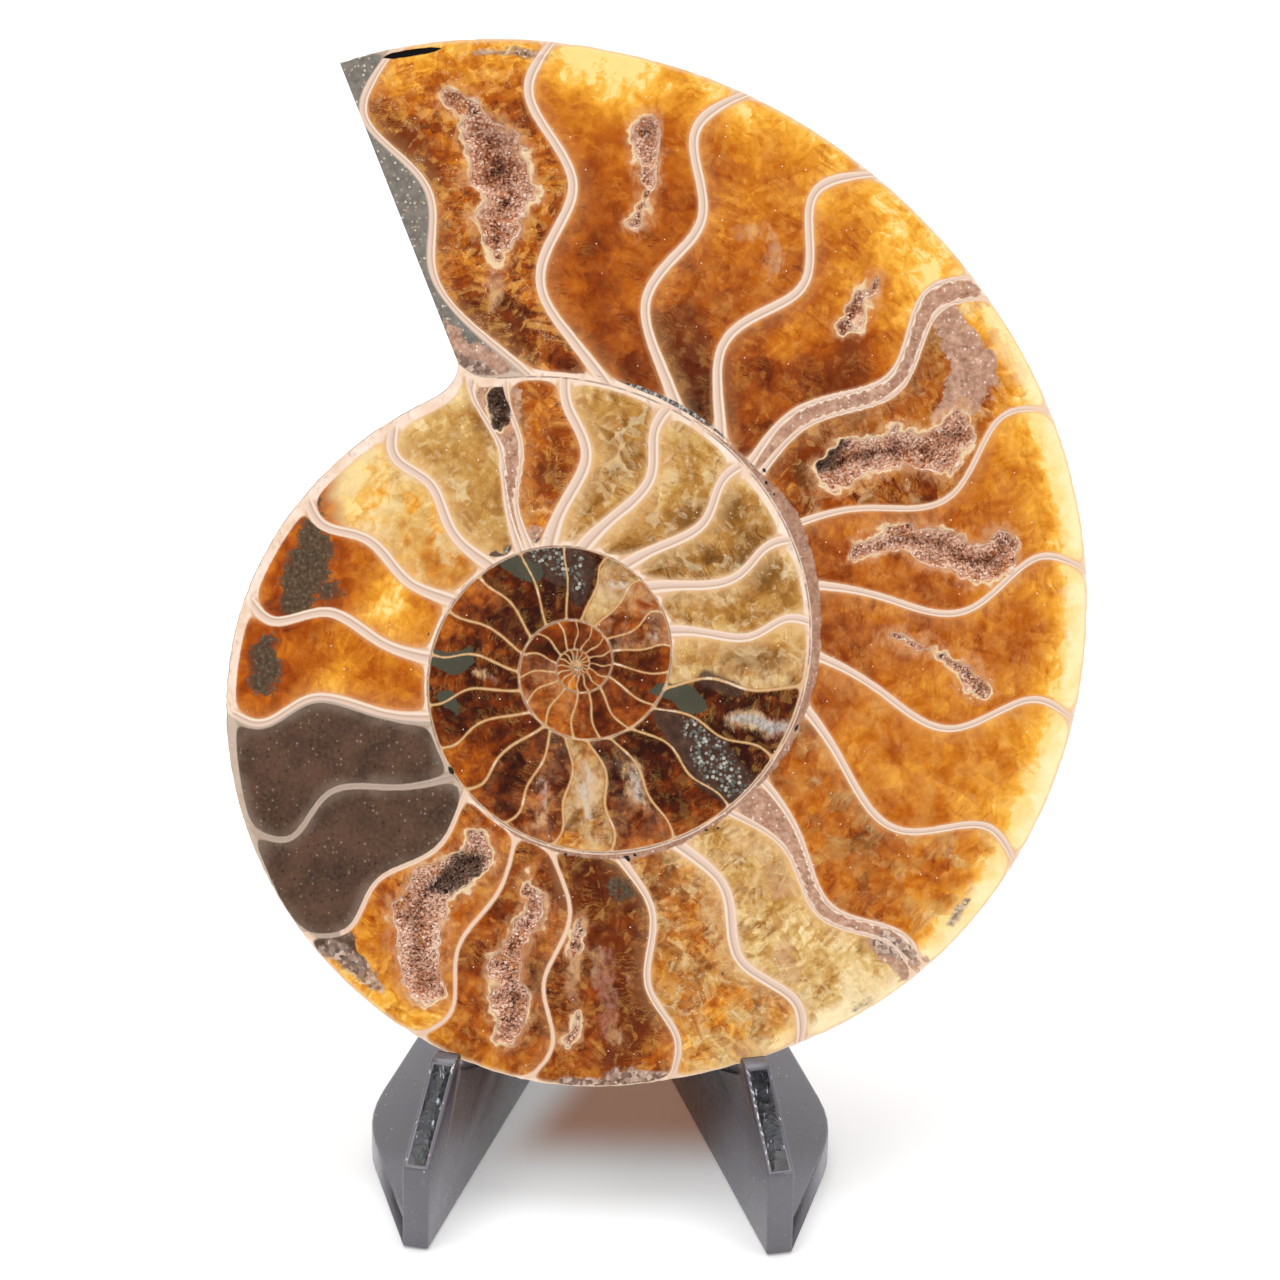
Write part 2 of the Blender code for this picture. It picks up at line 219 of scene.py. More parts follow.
def all_septa():
    """Every septum's turns at the swing places, its half thickness, and the chamber after it."""
    rows = [*(np.array(SEPTA) / ROW_UNITS)]
    inner = np.array(INNER_ROW) / ROW_UNITS[2:]
    start = rows[-1][0] * 360.0 + MOUTH_ANGLE - rows[-1][1]
    for step in range(INNER_SEPTA):
        degrees = start + INNER_SPACING * (step + 1)
        whorl = int(degrees // 360.0)
        shades = np.clip(inner[5:9] + RANDOM.uniform(-0.12, 0.1), 0.1, 0.9)
        thin = inner[4] * INNER_THINNING ** max(whorl - 3, 0)
        rows.append([whorl, MOUTH_ANGLE - degrees % 360.0, *inner[:4], thin, *shades, *inner[9:]])
    rows = np.array(rows)
    swings = np.column_stack((np.zeros(len(rows)), rows[:, 2:6]))
    turns = rows[:, :1] + (MOUTH_ANGLE - rows[:, 1:2] - swings) / 360.0
    return turns, rows[:, 6], rows[:, 7:]


def natural_spline(knots, values, places):
    """Rows of values at the knots, as smooth curves read at the places."""
    gaps = np.diff(knots)
    count = len(knots)
    system = np.eye(count)
    right = np.zeros((count, len(values)))
    slopes = np.diff(values, axis=1) / gaps
    for i in range(1, count - 1):
        system[i, i - 1:i + 2] = gaps[i - 1], 2.0 * (gaps[i - 1] + gaps[i]), gaps[i]
        right[i] = 6.0 * (slopes[:, i] - slopes[:, i - 1])
    bends = np.linalg.solve(system, right)
    i = np.clip(np.searchsorted(knots, places, side="right") - 1, 0, count - 2)
    gap = gaps[i]
    b = (places - knots[i]) / gap
    a = 1.0 - b
    curve = ((a**3 - a) * bends[i].T + (b**3 - b) * bends[i + 1].T) * gap**2 / 6.0
    return a * values[:, i] + b * values[:, i + 1] + curve


SEPTUM_TURNS, SEPTUM_HALF, CHAMBERS = all_septa()
BATCH = 20000
TILT_STEP = 0.01
FOOT_SWELLING = 0.35
RIM_THINNING = 0.4


def septum_field(turns, down):
    """For points of the cut face: a count that passes a whole number at each septum, the millimetres
    one count stands for there, the septum's half thickness, and the chamber's number."""
    batches = [slice(start, start + BATCH) for start in range(0, len(turns), BATCH)]
    return np.hstack([septum_batch(turns[batch], down[batch]) for batch in batches])


def septum_batch(t, f):
    """The septum field of one batch, between the two septa on either side of each point."""
    count = len(SEPTUM_HALF)
    lines = natural_spline(SWING_PLACES, SEPTUM_TURNS, f)
    for _ in range(2):
        lines = np.vstack((2.0 * lines[:1] - lines[1:2], lines, 2.0 * lines[-1:] - lines[-2:-1]))
    passed = np.clip((lines <= t).sum(axis=0) - 1, 1, count + 1)
    before, here, after, later = np.take_along_axis(lines, passed + np.arange(-1, 3)[:, None], axis=0)
    gap = np.maximum(after - here, 1e-5)
    x = (t - here) / gap
    rise_here = 2.0 * gap / np.maximum(after - before, 1e-5)
    rise_after = 2.0 * gap / np.maximum(later - here, 1e-5)
    part = rise_here * (x**3 - 2 * x**2 + x) + 3 * x**2 - 2 * x**3 + rise_after * (x**3 - x**2)
    near_next = part > 0.5
    off = part - near_next
    moved = t - np.where(near_next, after, here)
    rate = np.where(near_next, (later - here) / 2.0, (after - before) / 2.0)
    per_count = np.where(np.abs(off) > 1e-3, moved / np.where(off == 0.0, 1.0, off), rate)

    above, below = np.clip(f - TILT_STEP, 0.0, 1.0), np.clip(f + TILT_STEP, 0.0, 1.0)
    start, end = (natural_spline(SWING_PLACES, SEPTUM_TURNS, place) for place in (above, below))
    near = np.clip(passed - 2 + near_next, 0, count - 1)
    tilt = np.take_along_axis(end - start, near[None], axis=0)[0] / (below - above)
    around = 2.0 * np.pi * face_radius(t, f)
    width = rim_radius(t) - rim_radius(t + 1.0)
    steep = width / np.hypot(width, around * tilt)

    half = SEPTUM_HALF[near]
    half = half * (1.0 + FOOT_SWELLING * eased(f, 0.75, 1.0) * (half > 0.3))
    half = half * (1.0 - RIM_THINNING * eased(f, 0.1, 0.0) * (t < 1.0))
    return np.stack((passed - 2 + part, per_count * around * steep, half, passed - 1))


# Tone, olive, milk and coarseness of the sediment between the mouth and the first septum.
MOUTH_CHAMBER = (0.3, 0.3, 0.3, 0.3, 0.0, 0.0, 0.0)
TONE_PLACES = np.array((0.0, 0.26, 0.66, 1.0))
# Chambers filled with sediment and with sand, by the number of the septum before them.
SEDIMENT_SPANS = ((-9, 0), (16, 18))
SAND_SPANS = ((4, 5), (10, 11), (22, 23))


def chamber_field(number, down):
    """Tone, olive, milk and coarseness of the calcite at points of the cut face."""
    rows = np.vstack((MOUTH_CHAMBER, CHAMBERS))[number.astype(int)]
    i = np.clip(np.searchsorted(TONE_PLACES, down, side="right") - 1, 0, 2)
    mix = eased(down, TONE_PLACES[i], TONE_PLACES[i + 1])
    each = np.arange(len(rows))
    return rows[each, i] * (1.0 - mix) + rows[each, i + 1] * mix, rows[:, 4], rows[:, 5], rows[:, 6]


# Features of the cut face, each a chain of (degrees, radius, half width), lengths in millimetres.
CAVITIES = (
    ((102.8, 72.6, 1), (100.9, 70.4, 1.5), (99.6, 66.6, 3), (98.9, 62.5, 4), (98.2, 59.5, 3.2),
     (100, 57, 2.4), (100.8, 54, 2.2), (101, 52, 1)),
    ((82.8, 67.4, 1.8), (82.3, 64.5, 1.5), (82, 62.3, 1), (81.4, 60.4, 0.6), (81.8, 57.6, 0.5),
     (82.1, 55.6, 0.8)),
    ((52.2, 60.9, 0.4), (51.9, 57.7, 0.8), (51.2, 54.5, 1.1)),
    ((37.7, 39.8, 2), (36.9, 42.7, 2.6), (35.4, 46.4, 2.2), (33.5, 49.2, 2.4), (30.4, 52.6, 2.7),
     (30.8, 55, 2.4), (32.5, 57, 1.4)),
    ((21.8, 38.1, 0.9), (22.4, 41, 1.7), (20.9, 43.9, 1.9), (18.3, 47.8, 2.1), (15.8, 50.4, 2.6),
     (14.3, 53.3, 2.8), (15.4, 55.2, 1.9)),
    ((5.1, 39, 0.4), (5, 41.7, 0.5), (2.6, 44.7, 0.4), (0.5, 46.8, 0.5), (-1.5, 48.5, 1.4),
     (-3.3, 50.7, 1.1)),
    ((-101.9, 28, 0.8), (-100.2, 30.5, 1.1), (-100.2, 33, 1.1), (-103.1, 35.9, 1.4), (-103.3, 38.5, 2.1),
     (-102, 41.5, 2.3), (-100.8, 44.5, 2.3), (-101, 46.5, 1.8)),
    ((-120.5, 24.7, 1.1), (-117.6, 27.2, 1.8), (-120.5, 30, 2.3), (-124, 33.9, 2.8), (-122.9, 37.2, 3.2),
     (-120, 39.7, 3.2), (-117.6, 42.3, 2.7), (-115.8, 44.4, 2.7)),
    ((105.9, 35.2, 1.1), (107.1, 32.4, 1.1)),
    ((-88.6, 32.4, 0.4), (-90.4, 35, 0.9), (-91.4, 37.6, 0.5)),
    ((-89.8, 44.2, 0.5), (-91.2, 46.4, 0.8)),
)
SAND_PATCHES = (
    ((45.5, 65.2, 1.2), (42.6, 63.4, 2.2), (39.2, 62.4, 2.8), (36.6, 62, 3), (35, 59, 2.8),
     (34, 55.6, 1.4)),
    ((110.8, 46, 0.5), (110, 43, 1.3), (108.6, 40.6, 2.2), (105.5, 38.8, 1.6)),
    ((-41.7, 50, 1.2), (-42, 55.1, 1.9), (-41.6, 58, 1.4)),
    ((111.8, 39.6, 1.2), (109.4, 38.8, 1.7), (105.9, 37.3, 1.2), (102.2, 36.7, 0.7)),
    ((103, 36.4, 0.7), (102, 34.6, 0.5), (103.5, 32.5, 0.5)),
    ((117, 16.4, 0.7), (110, 17.2, 0.8), (104, 16.4, 0.4)),
)
SEDIMENT_PATCHES = (
    ((178, 18.1, 0.8), (180, 15.8, 1.5), (174.7, 13.6, 1)),
    ((-165.7, 17.7, 0.8), (-162.5, 16.6, 1), (-157.7, 16.5, 0.6)),
    ((127.6, 17.4, 0.6), (122.1, 14.6, 1.2), (114.3, 12.4, 1)),
    ((-15.9, 11.4, 1.2), (-18.3, 14.4, 1.8), (-17.9, 17, 0.8)),
    ((-136, 46, 1.8), (-131, 46.2, 2.2), (-126.5, 46.4, 1.2)),
)
CRUSTS = (
    ((-130.9, 47.3, 1.5), (-128.2, 46.9, 1.6), (-125.4, 46.4, 1.3), (-121, 47.5, 0.5)),
    ((100, 77.6, 0.3), (96, 77.2, 0.8), (92.5, 76.2, 0.4)),
    ((-92, 51.9, 0.5), (-88.3, 52.1, 1.1), (-84.1, 52.2, 1.3), (-78, 52.5, 0.7)),
    ((111.6, 42.4, 0.6), (110.2, 40.2, 1.5), (107.2, 38.6, 1)),
    ((-41.9, 51.7, 1.2), (-41.1, 55.3, 1.1)),
    ((-31, 56.8, 0.5), (-34.5, 56.9, 0.6)),
    ((-48.5, 55.2, 0.4), (-51, 54.6, 0.5)),
)
SOOT = (
    ((147, 39, 0.4), (150.9, 38.3, 1), (154.1, 37, 1.5), (156.9, 36, 2.1), (159.9, 35.9, 2.6),
     (164, 35.9, 2.5), (167.5, 36.4, 2)),
    ((163.1, 32.3, 0.9), (164.1, 32.4, 0.8)),
    ((175.5, 38.4, 0.9), (177.6, 39, 1.4), (-179.6, 39, 1.8), (-176.9, 39.7, 1.3)),
    ((-80, 28.2, 0.9), (-76, 29, 0.6)),
)
SILVER = (
    ((120.6, 16, 0.6), (111.9, 15.6, 1.2), (104.4, 14.6, 1.5), (99, 12.2, 0.8)),
    ((92, 13.2, 0.4), (88, 10, 0.4)),
    ((-28, 16, 1), (-34.1, 19.6, 1.9), (-36, 22.6, 2.3), (-35.7, 25.2, 1.5)),
    ((0, 0, 0.7),),
)
MUD = (
    ((121, 16.6, 0.8), (107.1, 14.7, 2.2), (97, 12.4, 2.6), (91.1, 12.1, 2.6), (88.7, 8.4, 1)),
    ((-31.1, 12.1, 1), (-32.8, 16.6, 2.4), (-36.4, 21.3, 3.2), (-37.5, 25.2, 2.6)),
    ((-6, 16, 1), (-9, 20, 0.8)),
)
MILK = (
    ((101.2, 51, 0.9), (102, 48, 1.2), (102.8, 45.4, 0.6)),
    ((-19.8, 20.3, 1), (-17.6, 24, 1.7), (-16.3, 27.1, 1.2)),
    ((-88.1, 32.6, 0.8), (-90.3, 35, 0.6), (-91.3, 38.1, 1.2), (-90.2, 41.8, 0.7), (-90.6, 45.4, 1.2)),
    ((-81, 39.7, 0.6), (-79.1, 37.6, 0.4)),
    ((-107, 15, 0.8), (-103.1, 18.2, 0.7), (-103.7, 20.6, 0.5)),
    ((-82.2, 12, 0.8), (-86.8, 15.6, 1.3), (-85, 18.8, 1)),
    ((-61.2, 14.3, 0.7), (-64.4, 17.3, 1.1), (-64.9, 20, 0.7)),
    ((-176.1, 12.8, 0.3), (-171.3, 10.7, 0.4)),
    ((69, 57.6, 1.2), (66.7, 59.5, 0.8), (63.5, 55.5, 1)),
    ((-46, 31, 1.8), (-47.5, 38, 1.9)),
    ((-54, 44, 1.8), (-56, 46.5, 1.4)),
    ((-85.4, 36.2, 0.9), (-84.5, 41.9, 1.1), (-84.7, 46.2, 1)),
    ((65, 11, 1.2), (56, 12, 1)),
    ((22, 10, 1),),
)
GLOW = (
    ((84, 73, 3), (92, 75, 2)),
    ((48.5, 63.5, 3), (53, 66, 2.2)),
    ((55.5, 50.3, 1.8), (57.5, 47, 1.4)),
    ((-120, 46.2, 1.2), (-114, 48.6, 1.6), (-109, 50.4, 1.4)),
    ((164, 26, 1.6), (158, 24.4, 1.5)),
    ((-175, 34, 1.2), (-176, 28, 0.8)),
    ((-61, 54.5, 1.2), (-57, 55, 1)),
    ((142, 40, 2.2), (147, 37, 1.6)),
)
DARK = (
    ((109.6, 72, 1.8), (108.6, 68.5, 2.6), (107.6, 64, 1.6)),
    ((107.6, 47, 1.6), (102, 43, 1.4)),
    ((49, 52.5, 1.6), (45, 47, 2.4)),
    ((73, 43, 3.2), (70.5, 38, 2.4)),
    ((40.5, 38, 1.8), (41, 43, 1.2)),
    ((-118.5, 29, 1.8), (-121, 32, 1.4)),
    ((-76, 29.5, 2), (-84, 29.5, 2.4), (-91, 28.5, 1.6)),
    ((-82, 36, 1.6), (-81.5, 44, 1.6), (-84, 49, 1.6)),
    ((105.9, 35.2, 2.6), (107.1, 32.4, 2.6)),
    ((27, 26.5, 1.4), (34, 25.5, 1.2)),
    ((47, 27, 1.6), (55, 23, 1)),
    ((95, 28, 1.4), (96.5, 24, 1.2)),
    ((4, 21, 1), (2, 24, 0.8)),
    ((42, 58, 1), (42.5, 61.5, 1)),
)
STREAKS = (
    ((94.9, 36.7, 0.1), (86, 36.1, 0.2), (77.2, 35.5, 0.3), (69.9, 34.9, 0.32), (61.2, 34.4, 0.28),
     (53.3, 33.9, 0.2), (46, 33.1, 0.12)),
    ((107.5, 79.75, 0.35), (105.1, 79.3, 0.5), (102.7, 78.95, 0.35)),
)
PORES = (
    ((-93.5, 23.5, 0.26), (-93.7, 23.9, 0.22)), ((-90.8, 23.4, 0.16), (-90.8, 23.6, 0.14)),
    ((-88.2, 23.5, 0.2), (-87.6, 23.6, 0.2)), ((-75.7, 24.8, 0.34), (-75, 25.1, 0.3)),
    ((-73.2, 24.6, 0.22), (-73, 24.8, 0.2)), ((-52.2, 26.2, 0.26), (-51, 26.4, 0.2)),
    ((-49.6, 26.7, 0.18), (-49, 26.9, 0.16)), ((44.1, 32.9, 0.28), (43, 33.3, 0.2)),
    ((46.6, 33.6, 0.3), (45.6, 34, 0.2)), ((41, 32.6, 0.16), (40.6, 32.8, 0.14)),
    ((168, 18.9, 0.2), (169.5, 18.8, 0.2)), ((-172, 18.6, 0.22), (-170.5, 18.5, 0.2)),
    ((-141.2, 20.4, 0.26), (-139.5, 20.6, 0.3)), ((-112, 22.4, 0.16), (-111, 22.5, 0.14)),
    ((-16.8, 28.6, 0.2), (-15.5, 28.5, 0.25)), ((102.3, 34, 0.16), (102, 33.8, 0.16)),
)

# The marks that follow the bent and the plain places, by the names of their layers.
BENT_MARKS = {"crust": CRUSTS, "soot": SOOT, "silver": SILVER, "white": MILK, "glow": GLOW, "dark": DARK}
PLAIN_MARKS = {"streak": STREAKS, "pore": PORES, "mud": MUD}


def level(places, chains):
    """Millimetres inside the nearest of the features, below zero outside them."""
    found = np.full(len(places), -20.0)
    for chain in chains:
        degrees, radii, halves = np.array(chain, float).T
        angles = np.radians(degrees)
        points = np.stack((radii * np.cos(angles), radii * np.sin(angles), halves), axis=1)
        for a, b in zip(points[:-1], points[1:]) if len(points) > 1 else ((points[0], points[0]),):
            step = b[:2] - a[:2]
            along = np.clip((places - a[:2]) @ step / max(step @ step, 1e-9), 0.0, 1.0)
            off = np.hypot(*(places - a[:2] - along[:, None] * step).T)
            found = np.maximum(found, a[2] + (b[2] - a[2]) * along - off)
    return found


def span_level(count, per_count, spans):
    """Millimetres inside the nearest run of whole chambers."""
    return np.max([np.minimum(count - first, last - count) * per_count for first, last in spans], axis=0)


def rough(points, size):
    """Smooth noise from about -1 to 1 at points in millimetres, with features of that size."""
    return np.array([noise.noise(Vector(point) / size) for point in points])


# Walls between whorls: turns along them, half thickness of the pale shell on the outer and on the inner
# side, how far sand lies outside it, and the radius of the fillets between wall and septa.
WALL_TURNS, WALL_OUTER, WALL_INNER, WALL_SAND, FILLETS = np.array((
    (0, 0, 0.05, 0, 2.6), (0.7, 0, 0.1, 0, 2.6), (0.78, 0, 1.15, 0, 2.4), (1, 0, 1.5, 0, 2.4),
    (1.03, 0.7, 0.4, 0, 3.2), (1.09, 0.6, 0.5, 0, 3.6), (1.15, 0.4, 0.7, 0.5, 3.6),
    (1.18, 0.35, 0.9, 1, 3.4), (1.21, 0.35, 0.9, 2.1, 3), (1.25, 0.3, 0.6, 1.7, 2.6),
    (1.31, 0.3, 0.45, 1.3, 1.6), (1.36, 0.3, 0.3, 1.1, 0.9), (1.42, 0.35, 0.25, 0.7, 0.7),
    (1.5, 0.4, 0.22, 1, 0.7), (1.6, 0.5, 0.18, 0.6, 0.6), (1.7, 0.4, 0.18, 0, 0.6),
    (1.8, 0.35, 0.18, 0, 0.6), (1.9, 0.45, 0.18, 0.3, 0.6), (2, 0.3, 0.16, 0, 0.5),
    (2.1, 0.15, 0.15, 0, 0.4), (3, 0.12, 0.13, 0, 0.3), (4, 0.07, 0.07, 0, 0.15),
    (6, 0.03, 0.03, 0, 0.06),
)).T


# ---- the body of the ammonite

# Columns a turn and rows across for each whorl of the cut face, from the outermost in.
FACE_GRID = ((480, 48), (240, 24), (240, 12), (120, 6), (60, 3))
# A cell in or near a cavity is divided into FINE by FINE; this is the way round a cell in those steps.
FINE = 3
CAVITY_REACH = 1.3
SIDE = range(FINE)
CELL_PATH = ([(0, i) for i in SIDE] + [(i, FINE) for i in SIDE]
             + [(FINE, FINE - i) for i in SIDE] + [(FINE - i, 0) for i in SIDE])
BACK_COLUMNS = 240
FLANK_ROWS = 18
FLANK_CROWDING = 1.5
UMBILICAL_ROWS = 10
RIBS_PER_TURN = 46
RIB_HEIGHT = 0.13
RIB_SWEEP = 0.35
RIB_CURVE = 1.6


class Section:
    """The closed mesh in lists: vertices, faces, and where on the spiral each corner of a face is."""

    def __init__(self):
        self.where = []
        self.faces = []
        self.corners = []

    def vertex(self, turns, down):
        self.where.append((turns, down))
        return len(self.where) - 1

    def face(self, ring):
        self.faces.append([corner[0] for corner in ring])
        self.corners.extend(corner[1:] for corner in ring)


def face_lattice(section, whorl, columns, rows, outer_wall, last_column):
    """Vertex numbers of a whorl's grid, shared with the wall outside it and the column before it."""
    lattice = np.empty((columns + 1, rows + 1), int)
    for j in range(columns + 1):
        for i in range(rows + 1):
            if i == 0 and outer_wall is not None:
                lattice[j, i] = outer_wall[j * (len(outer_wall) - 1) // columns]
            elif j == 0 and last_column is not None:
                lattice[j, i] = last_column[i * (len(last_column) - 1) // rows]
            else:
                lattice[j, i] = section.vertex(whorl + j / columns, i / rows)
    return lattice


def refined_cells(whorl, columns, rows):
    """True for the cells in and around a cavity, which are divided more finely."""
    j, i = (np.indices((columns, rows)) + 0.5).reshape(2, -1)
    turns = whorl + j / columns
    places = spiral_places(turns, face_radius(turns, i / rows), 0.0)[:, [0, 2]]
    near = (level(places, CAVITIES) > -CAVITY_REACH).reshape(columns, rows)
    near[:2], near[-2:], near[:, :1], near[:, -1:] = False, False, False, False
    return near


def face_cells(section, whorl, columns, rows, lattice, fine_cells, outer_wall, last_column):
    """The whorl's faces, the fine cells split and their neighbours given the extra points."""
    extra = {}

    def point(column, row):
        j, a = divmod(column, FINE)
        i, b = divmod(row, FINE)
        turns, down = whorl + column / FINE / columns, row / FINE / rows
        if a == 0 and b == 0:
            return int(lattice[j, i]), turns, down
        if (column, row) not in extra:
            extra[column, row] = section.vertex(turns, down)
        return extra[column, row], turns, down

    for j, i in zip(*(places.tolist() for places in np.nonzero(fine_cells))):
        for u in range(j * FINE, (j + 1) * FINE):
            for v in range(i * FINE, (i + 1) * FINE):
                section.face((point(u, v), point(u, v + 1), point(u + 1, v + 1), point(u + 1, v)))

    for j, i in zip(*(places.tolist() for places in np.nonzero(~fine_cells))):
        ring = []
        for a, b in CELL_PATH:
            column, row = j * FINE + a, i * FINE + b
            if (a % FINE == 0 and b % FINE == 0) or (column, row) in extra:
                ring.append(point(column, row))
            if (a, b, j) == (0, 0, 0) and last_column is not None:
                ring.append((last_column[2 * i + 1], float(whorl), (i + 0.5) / rows))
            if (a, b, i) == (FINE, 0, 0) and outer_wall is not None and len(outer_wall) - 1 > columns:
                ring.append((outer_wall[2 * j + 1], whorl + (j + 0.5) / columns, 0.0))
        section.face(ring)


def build_face(section):
    """The cut face, whorl by whorl, down to a small cap at the centre. Returns its outline."""
    outer_wall = last_column = None
    for whorl, (columns, rows) in enumerate(FACE_GRID):
        lattice = face_lattice(section, whorl, columns, rows, outer_wall, last_column)
        if whorl == 0:
            lattice[columns, 0] = lattice[0, rows]
            outline = lattice[:columns, 0].tolist()
            mouth = lattice[0].tolist()
        else:
            lattice[0, rows] = lattice[columns, 0] = outer_wall[-1]
        fine = refined_cells(whorl, columns, rows) if whorl < 2 else np.zeros((columns, rows), bool)
        face_cells(section, whorl, columns, rows, lattice, fine, outer_wall, last_column)
        outer_wall, last_column = lattice[:, rows].tolist(), lattice[columns].tolist()
    cap = outer_wall + last_column[1:-1][::-1]
    section.face([(vertex, float(len(FACE_GRID)), 0.5) for vertex in cap[::-1]])
    return outline, mouth


def back_row(turns):
    """Radius and height across the back at one place along the spiral, and the share of the way across."""
    rim, seam = float(rim_radius(turns)), float(UMBILICUS * rim_radius(turns))
    if turns > 1.0 + 1e-9:
        radii = np.linspace(UMBILICUS * rim_radius(turns - 1.0), seam, UMBILICAL_ROWS + 1)
    else:
        hidden_rim = float(rim_radius(1.0))
        hidden = (float(rim_radius(0.0)) - hidden_rim) * UMBILICUS / (hidden_rim * (1.0 - UMBILICUS))
        edge = seam + hidden * (rim - seam)
        flank = rim - (rim - edge) * (np.arange(FLANK_ROWS) / FLANK_ROWS) ** FLANK_CROWDING
        radii = np.concatenate((flank, np.linspace(edge, seam, UMBILICAL_ROWS + 1)))
    across = (rim - radii) / (rim - seam)
    bend = RIB_SWEEP * np.sin(np.pi * across * RIB_CURVE)
    wave = np.sin(2.0 * np.pi * (turns * RIBS_PER_TURN + bend))
    rib = RIB_HEIGHT * wave * eased(across, 0.02, 0.15) * eased(across, 0.95, 0.6) * min(turns * 20, 1.0)
    rib *= eased(1.0 - turns, 0.0, 0.05)
    return radii, flank_height(np.full(len(radii), turns), radii) + rib, across


def build_back(section, places, outline, mouth):
    """The outside of the shell with the rim, the middle of the umbilicus and, last, the cut mouth.
    Returns how many faces come before the mouth."""
    rows, acrosses = [], []
    for step in range(int(BACK_TURNS * BACK_COLUMNS) + 1):
        turns = step / BACK_COLUMNS
        radii, heights, across = back_row(turns)
        points = spiral_places(np.full(len(radii), turns), radii, heights)
        shared = 1 if step > BACK_COLUMNS else 0
        row = [rows[step - BACK_COLUMNS][-1]] if shared else []
        row += range(len(places), len(places) + len(points) - shared)
        places.extend(points[shared:])
        if step == BACK_COLUMNS:
            row[FLANK_ROWS] = rows[0][-1]
        rows.append(row)
        acrosses.append(across)

    def corner(step, i):
        return rows[step][i], step / BACK_COLUMNS, float(acrosses[step][i])

    for step in range(len(rows) - 1):
        skip = len(rows[step]) - len(rows[step + 1])
        for i in range(len(rows[step + 1]) - 1):
            section.face((corner(step, i + skip), corner(step + 1, i), corner(step + 1, i + 1),
                          corner(step, i + skip + 1)))
    for step in range(BACK_COLUMNS):
        front = [(v, step / BACK_COLUMNS, 0.0) for v in outline[2 * step:2 * step + 3]]
        section.face(front + [corner(step + 1, 0), corner(step, 0)])
    middle = [corner(step, -1) for step in range(len(rows) - BACK_COLUMNS - 1, len(rows))]
    section.face(middle + [corner(-1, i) for i in range(len(rows[-1]) - 2, 0, -1)])
    shell_faces = len(section.faces)
    ring = [mouth[0]] + rows[0] + rows[BACK_COLUMNS][:FLANK_ROWS][::-1] + mouth[:0:-1]
    section.face([(vertex, 0.0, 0.0) for vertex in ring])
    return shell_faces


def seat_matrix(points):
    """Where the ammonite stands: turned as the part has it, its box centred on the CAD node's box."""
    turn = Matrix.Rotation(-LEAN, 4, "X") @ Matrix.Rotation(-SEAT_TURN, 4, "Y")
    turned = points @ np.array(turn.to_3x3()).T * MM
    low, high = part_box("ammonite_half")
    middle = (Vector(low) + Vector(high)) / 2.0
    return Matrix.Translation(middle - Vector((turned.min(axis=0) + turned.max(axis=0)) / 2.0)) @ turn


# How far out a cavity's edge can be shifted by noise, and the limits of its depth.
EDGE_NOISE = 2.6
DEEPEST = 4.5
DEEPEST_SHARE = 0.4


def sink_cavities(front, bent, turns, radius, down):
    """Presses the cavities into the cut face. Returns how far inside one each point is, and which sank."""
    cavity = level(bent, CAVITIES)
    near = cavity > -EDGE_NOISE
    cavity[near] += 0.6 * rough(front[near], 2.4) + 0.45 * rough(front[near] + 40.0, 0.9)
    thickness = flank_height(turns % 1.0, np.minimum(radius, rim_radius(turns % 1.0)))
    sunk = near & (cavity > 0.0) & (down > 0.02) & (down < 0.98)
    depth = eased(cavity[sunk], 0.0, 0.5) * (0.5 + 0.85 * cavity[sunk])
    depth *= 1.0 + 0.5 * rough(front[sunk] + 80.0, 2.8) + 0.3 * rough(front[sunk] + 120.0, 0.8)
    front[sunk, 1] += np.clip(depth, 0.0, np.minimum(DEEPEST, DEEPEST_SHARE * thickness[sunk]))
    return cavity, sunk


def wear_rim(places):
    """Worn hollows along the rim."""
    reach = np.hypot(places[:, 0], places[:, 2])
    degrees = np.degrees(np.arctan2(places[:, 2], places[:, 0]))
    rim = rim_radius((MOUTH_ANGLE - degrees) % 360.0 / 360.0)
    worn = eased(rim - reach, 1.2, 0.0) * 0.16 * rough(places * (1.0, 0.3, 1.0), 1.7)
    places[:, [0, 2]] *= 1.0 - (np.abs(worn) / np.maximum(reach, 1.0))[:, None]


# The mesh's layers, each of three numbers for every corner of a face.
LAYERS = {
    "septum": ("count", "per_count", "half"),
    "walls": ("inner", "outer", "fillet"),
    "edges": ("inner_half", "outer_half", "coarse"),
    "filling": ("tone", "olive", "milk"),
    "marks": ("cavity", "sand", "sediment"),
    "spots": ("crust", "soot", "silver"),
    "lights": ("white", "glow", "dark"),
    "lines": ("streak", "pore", "mud"),
    "outside": ("turns", "down", "band"),
}


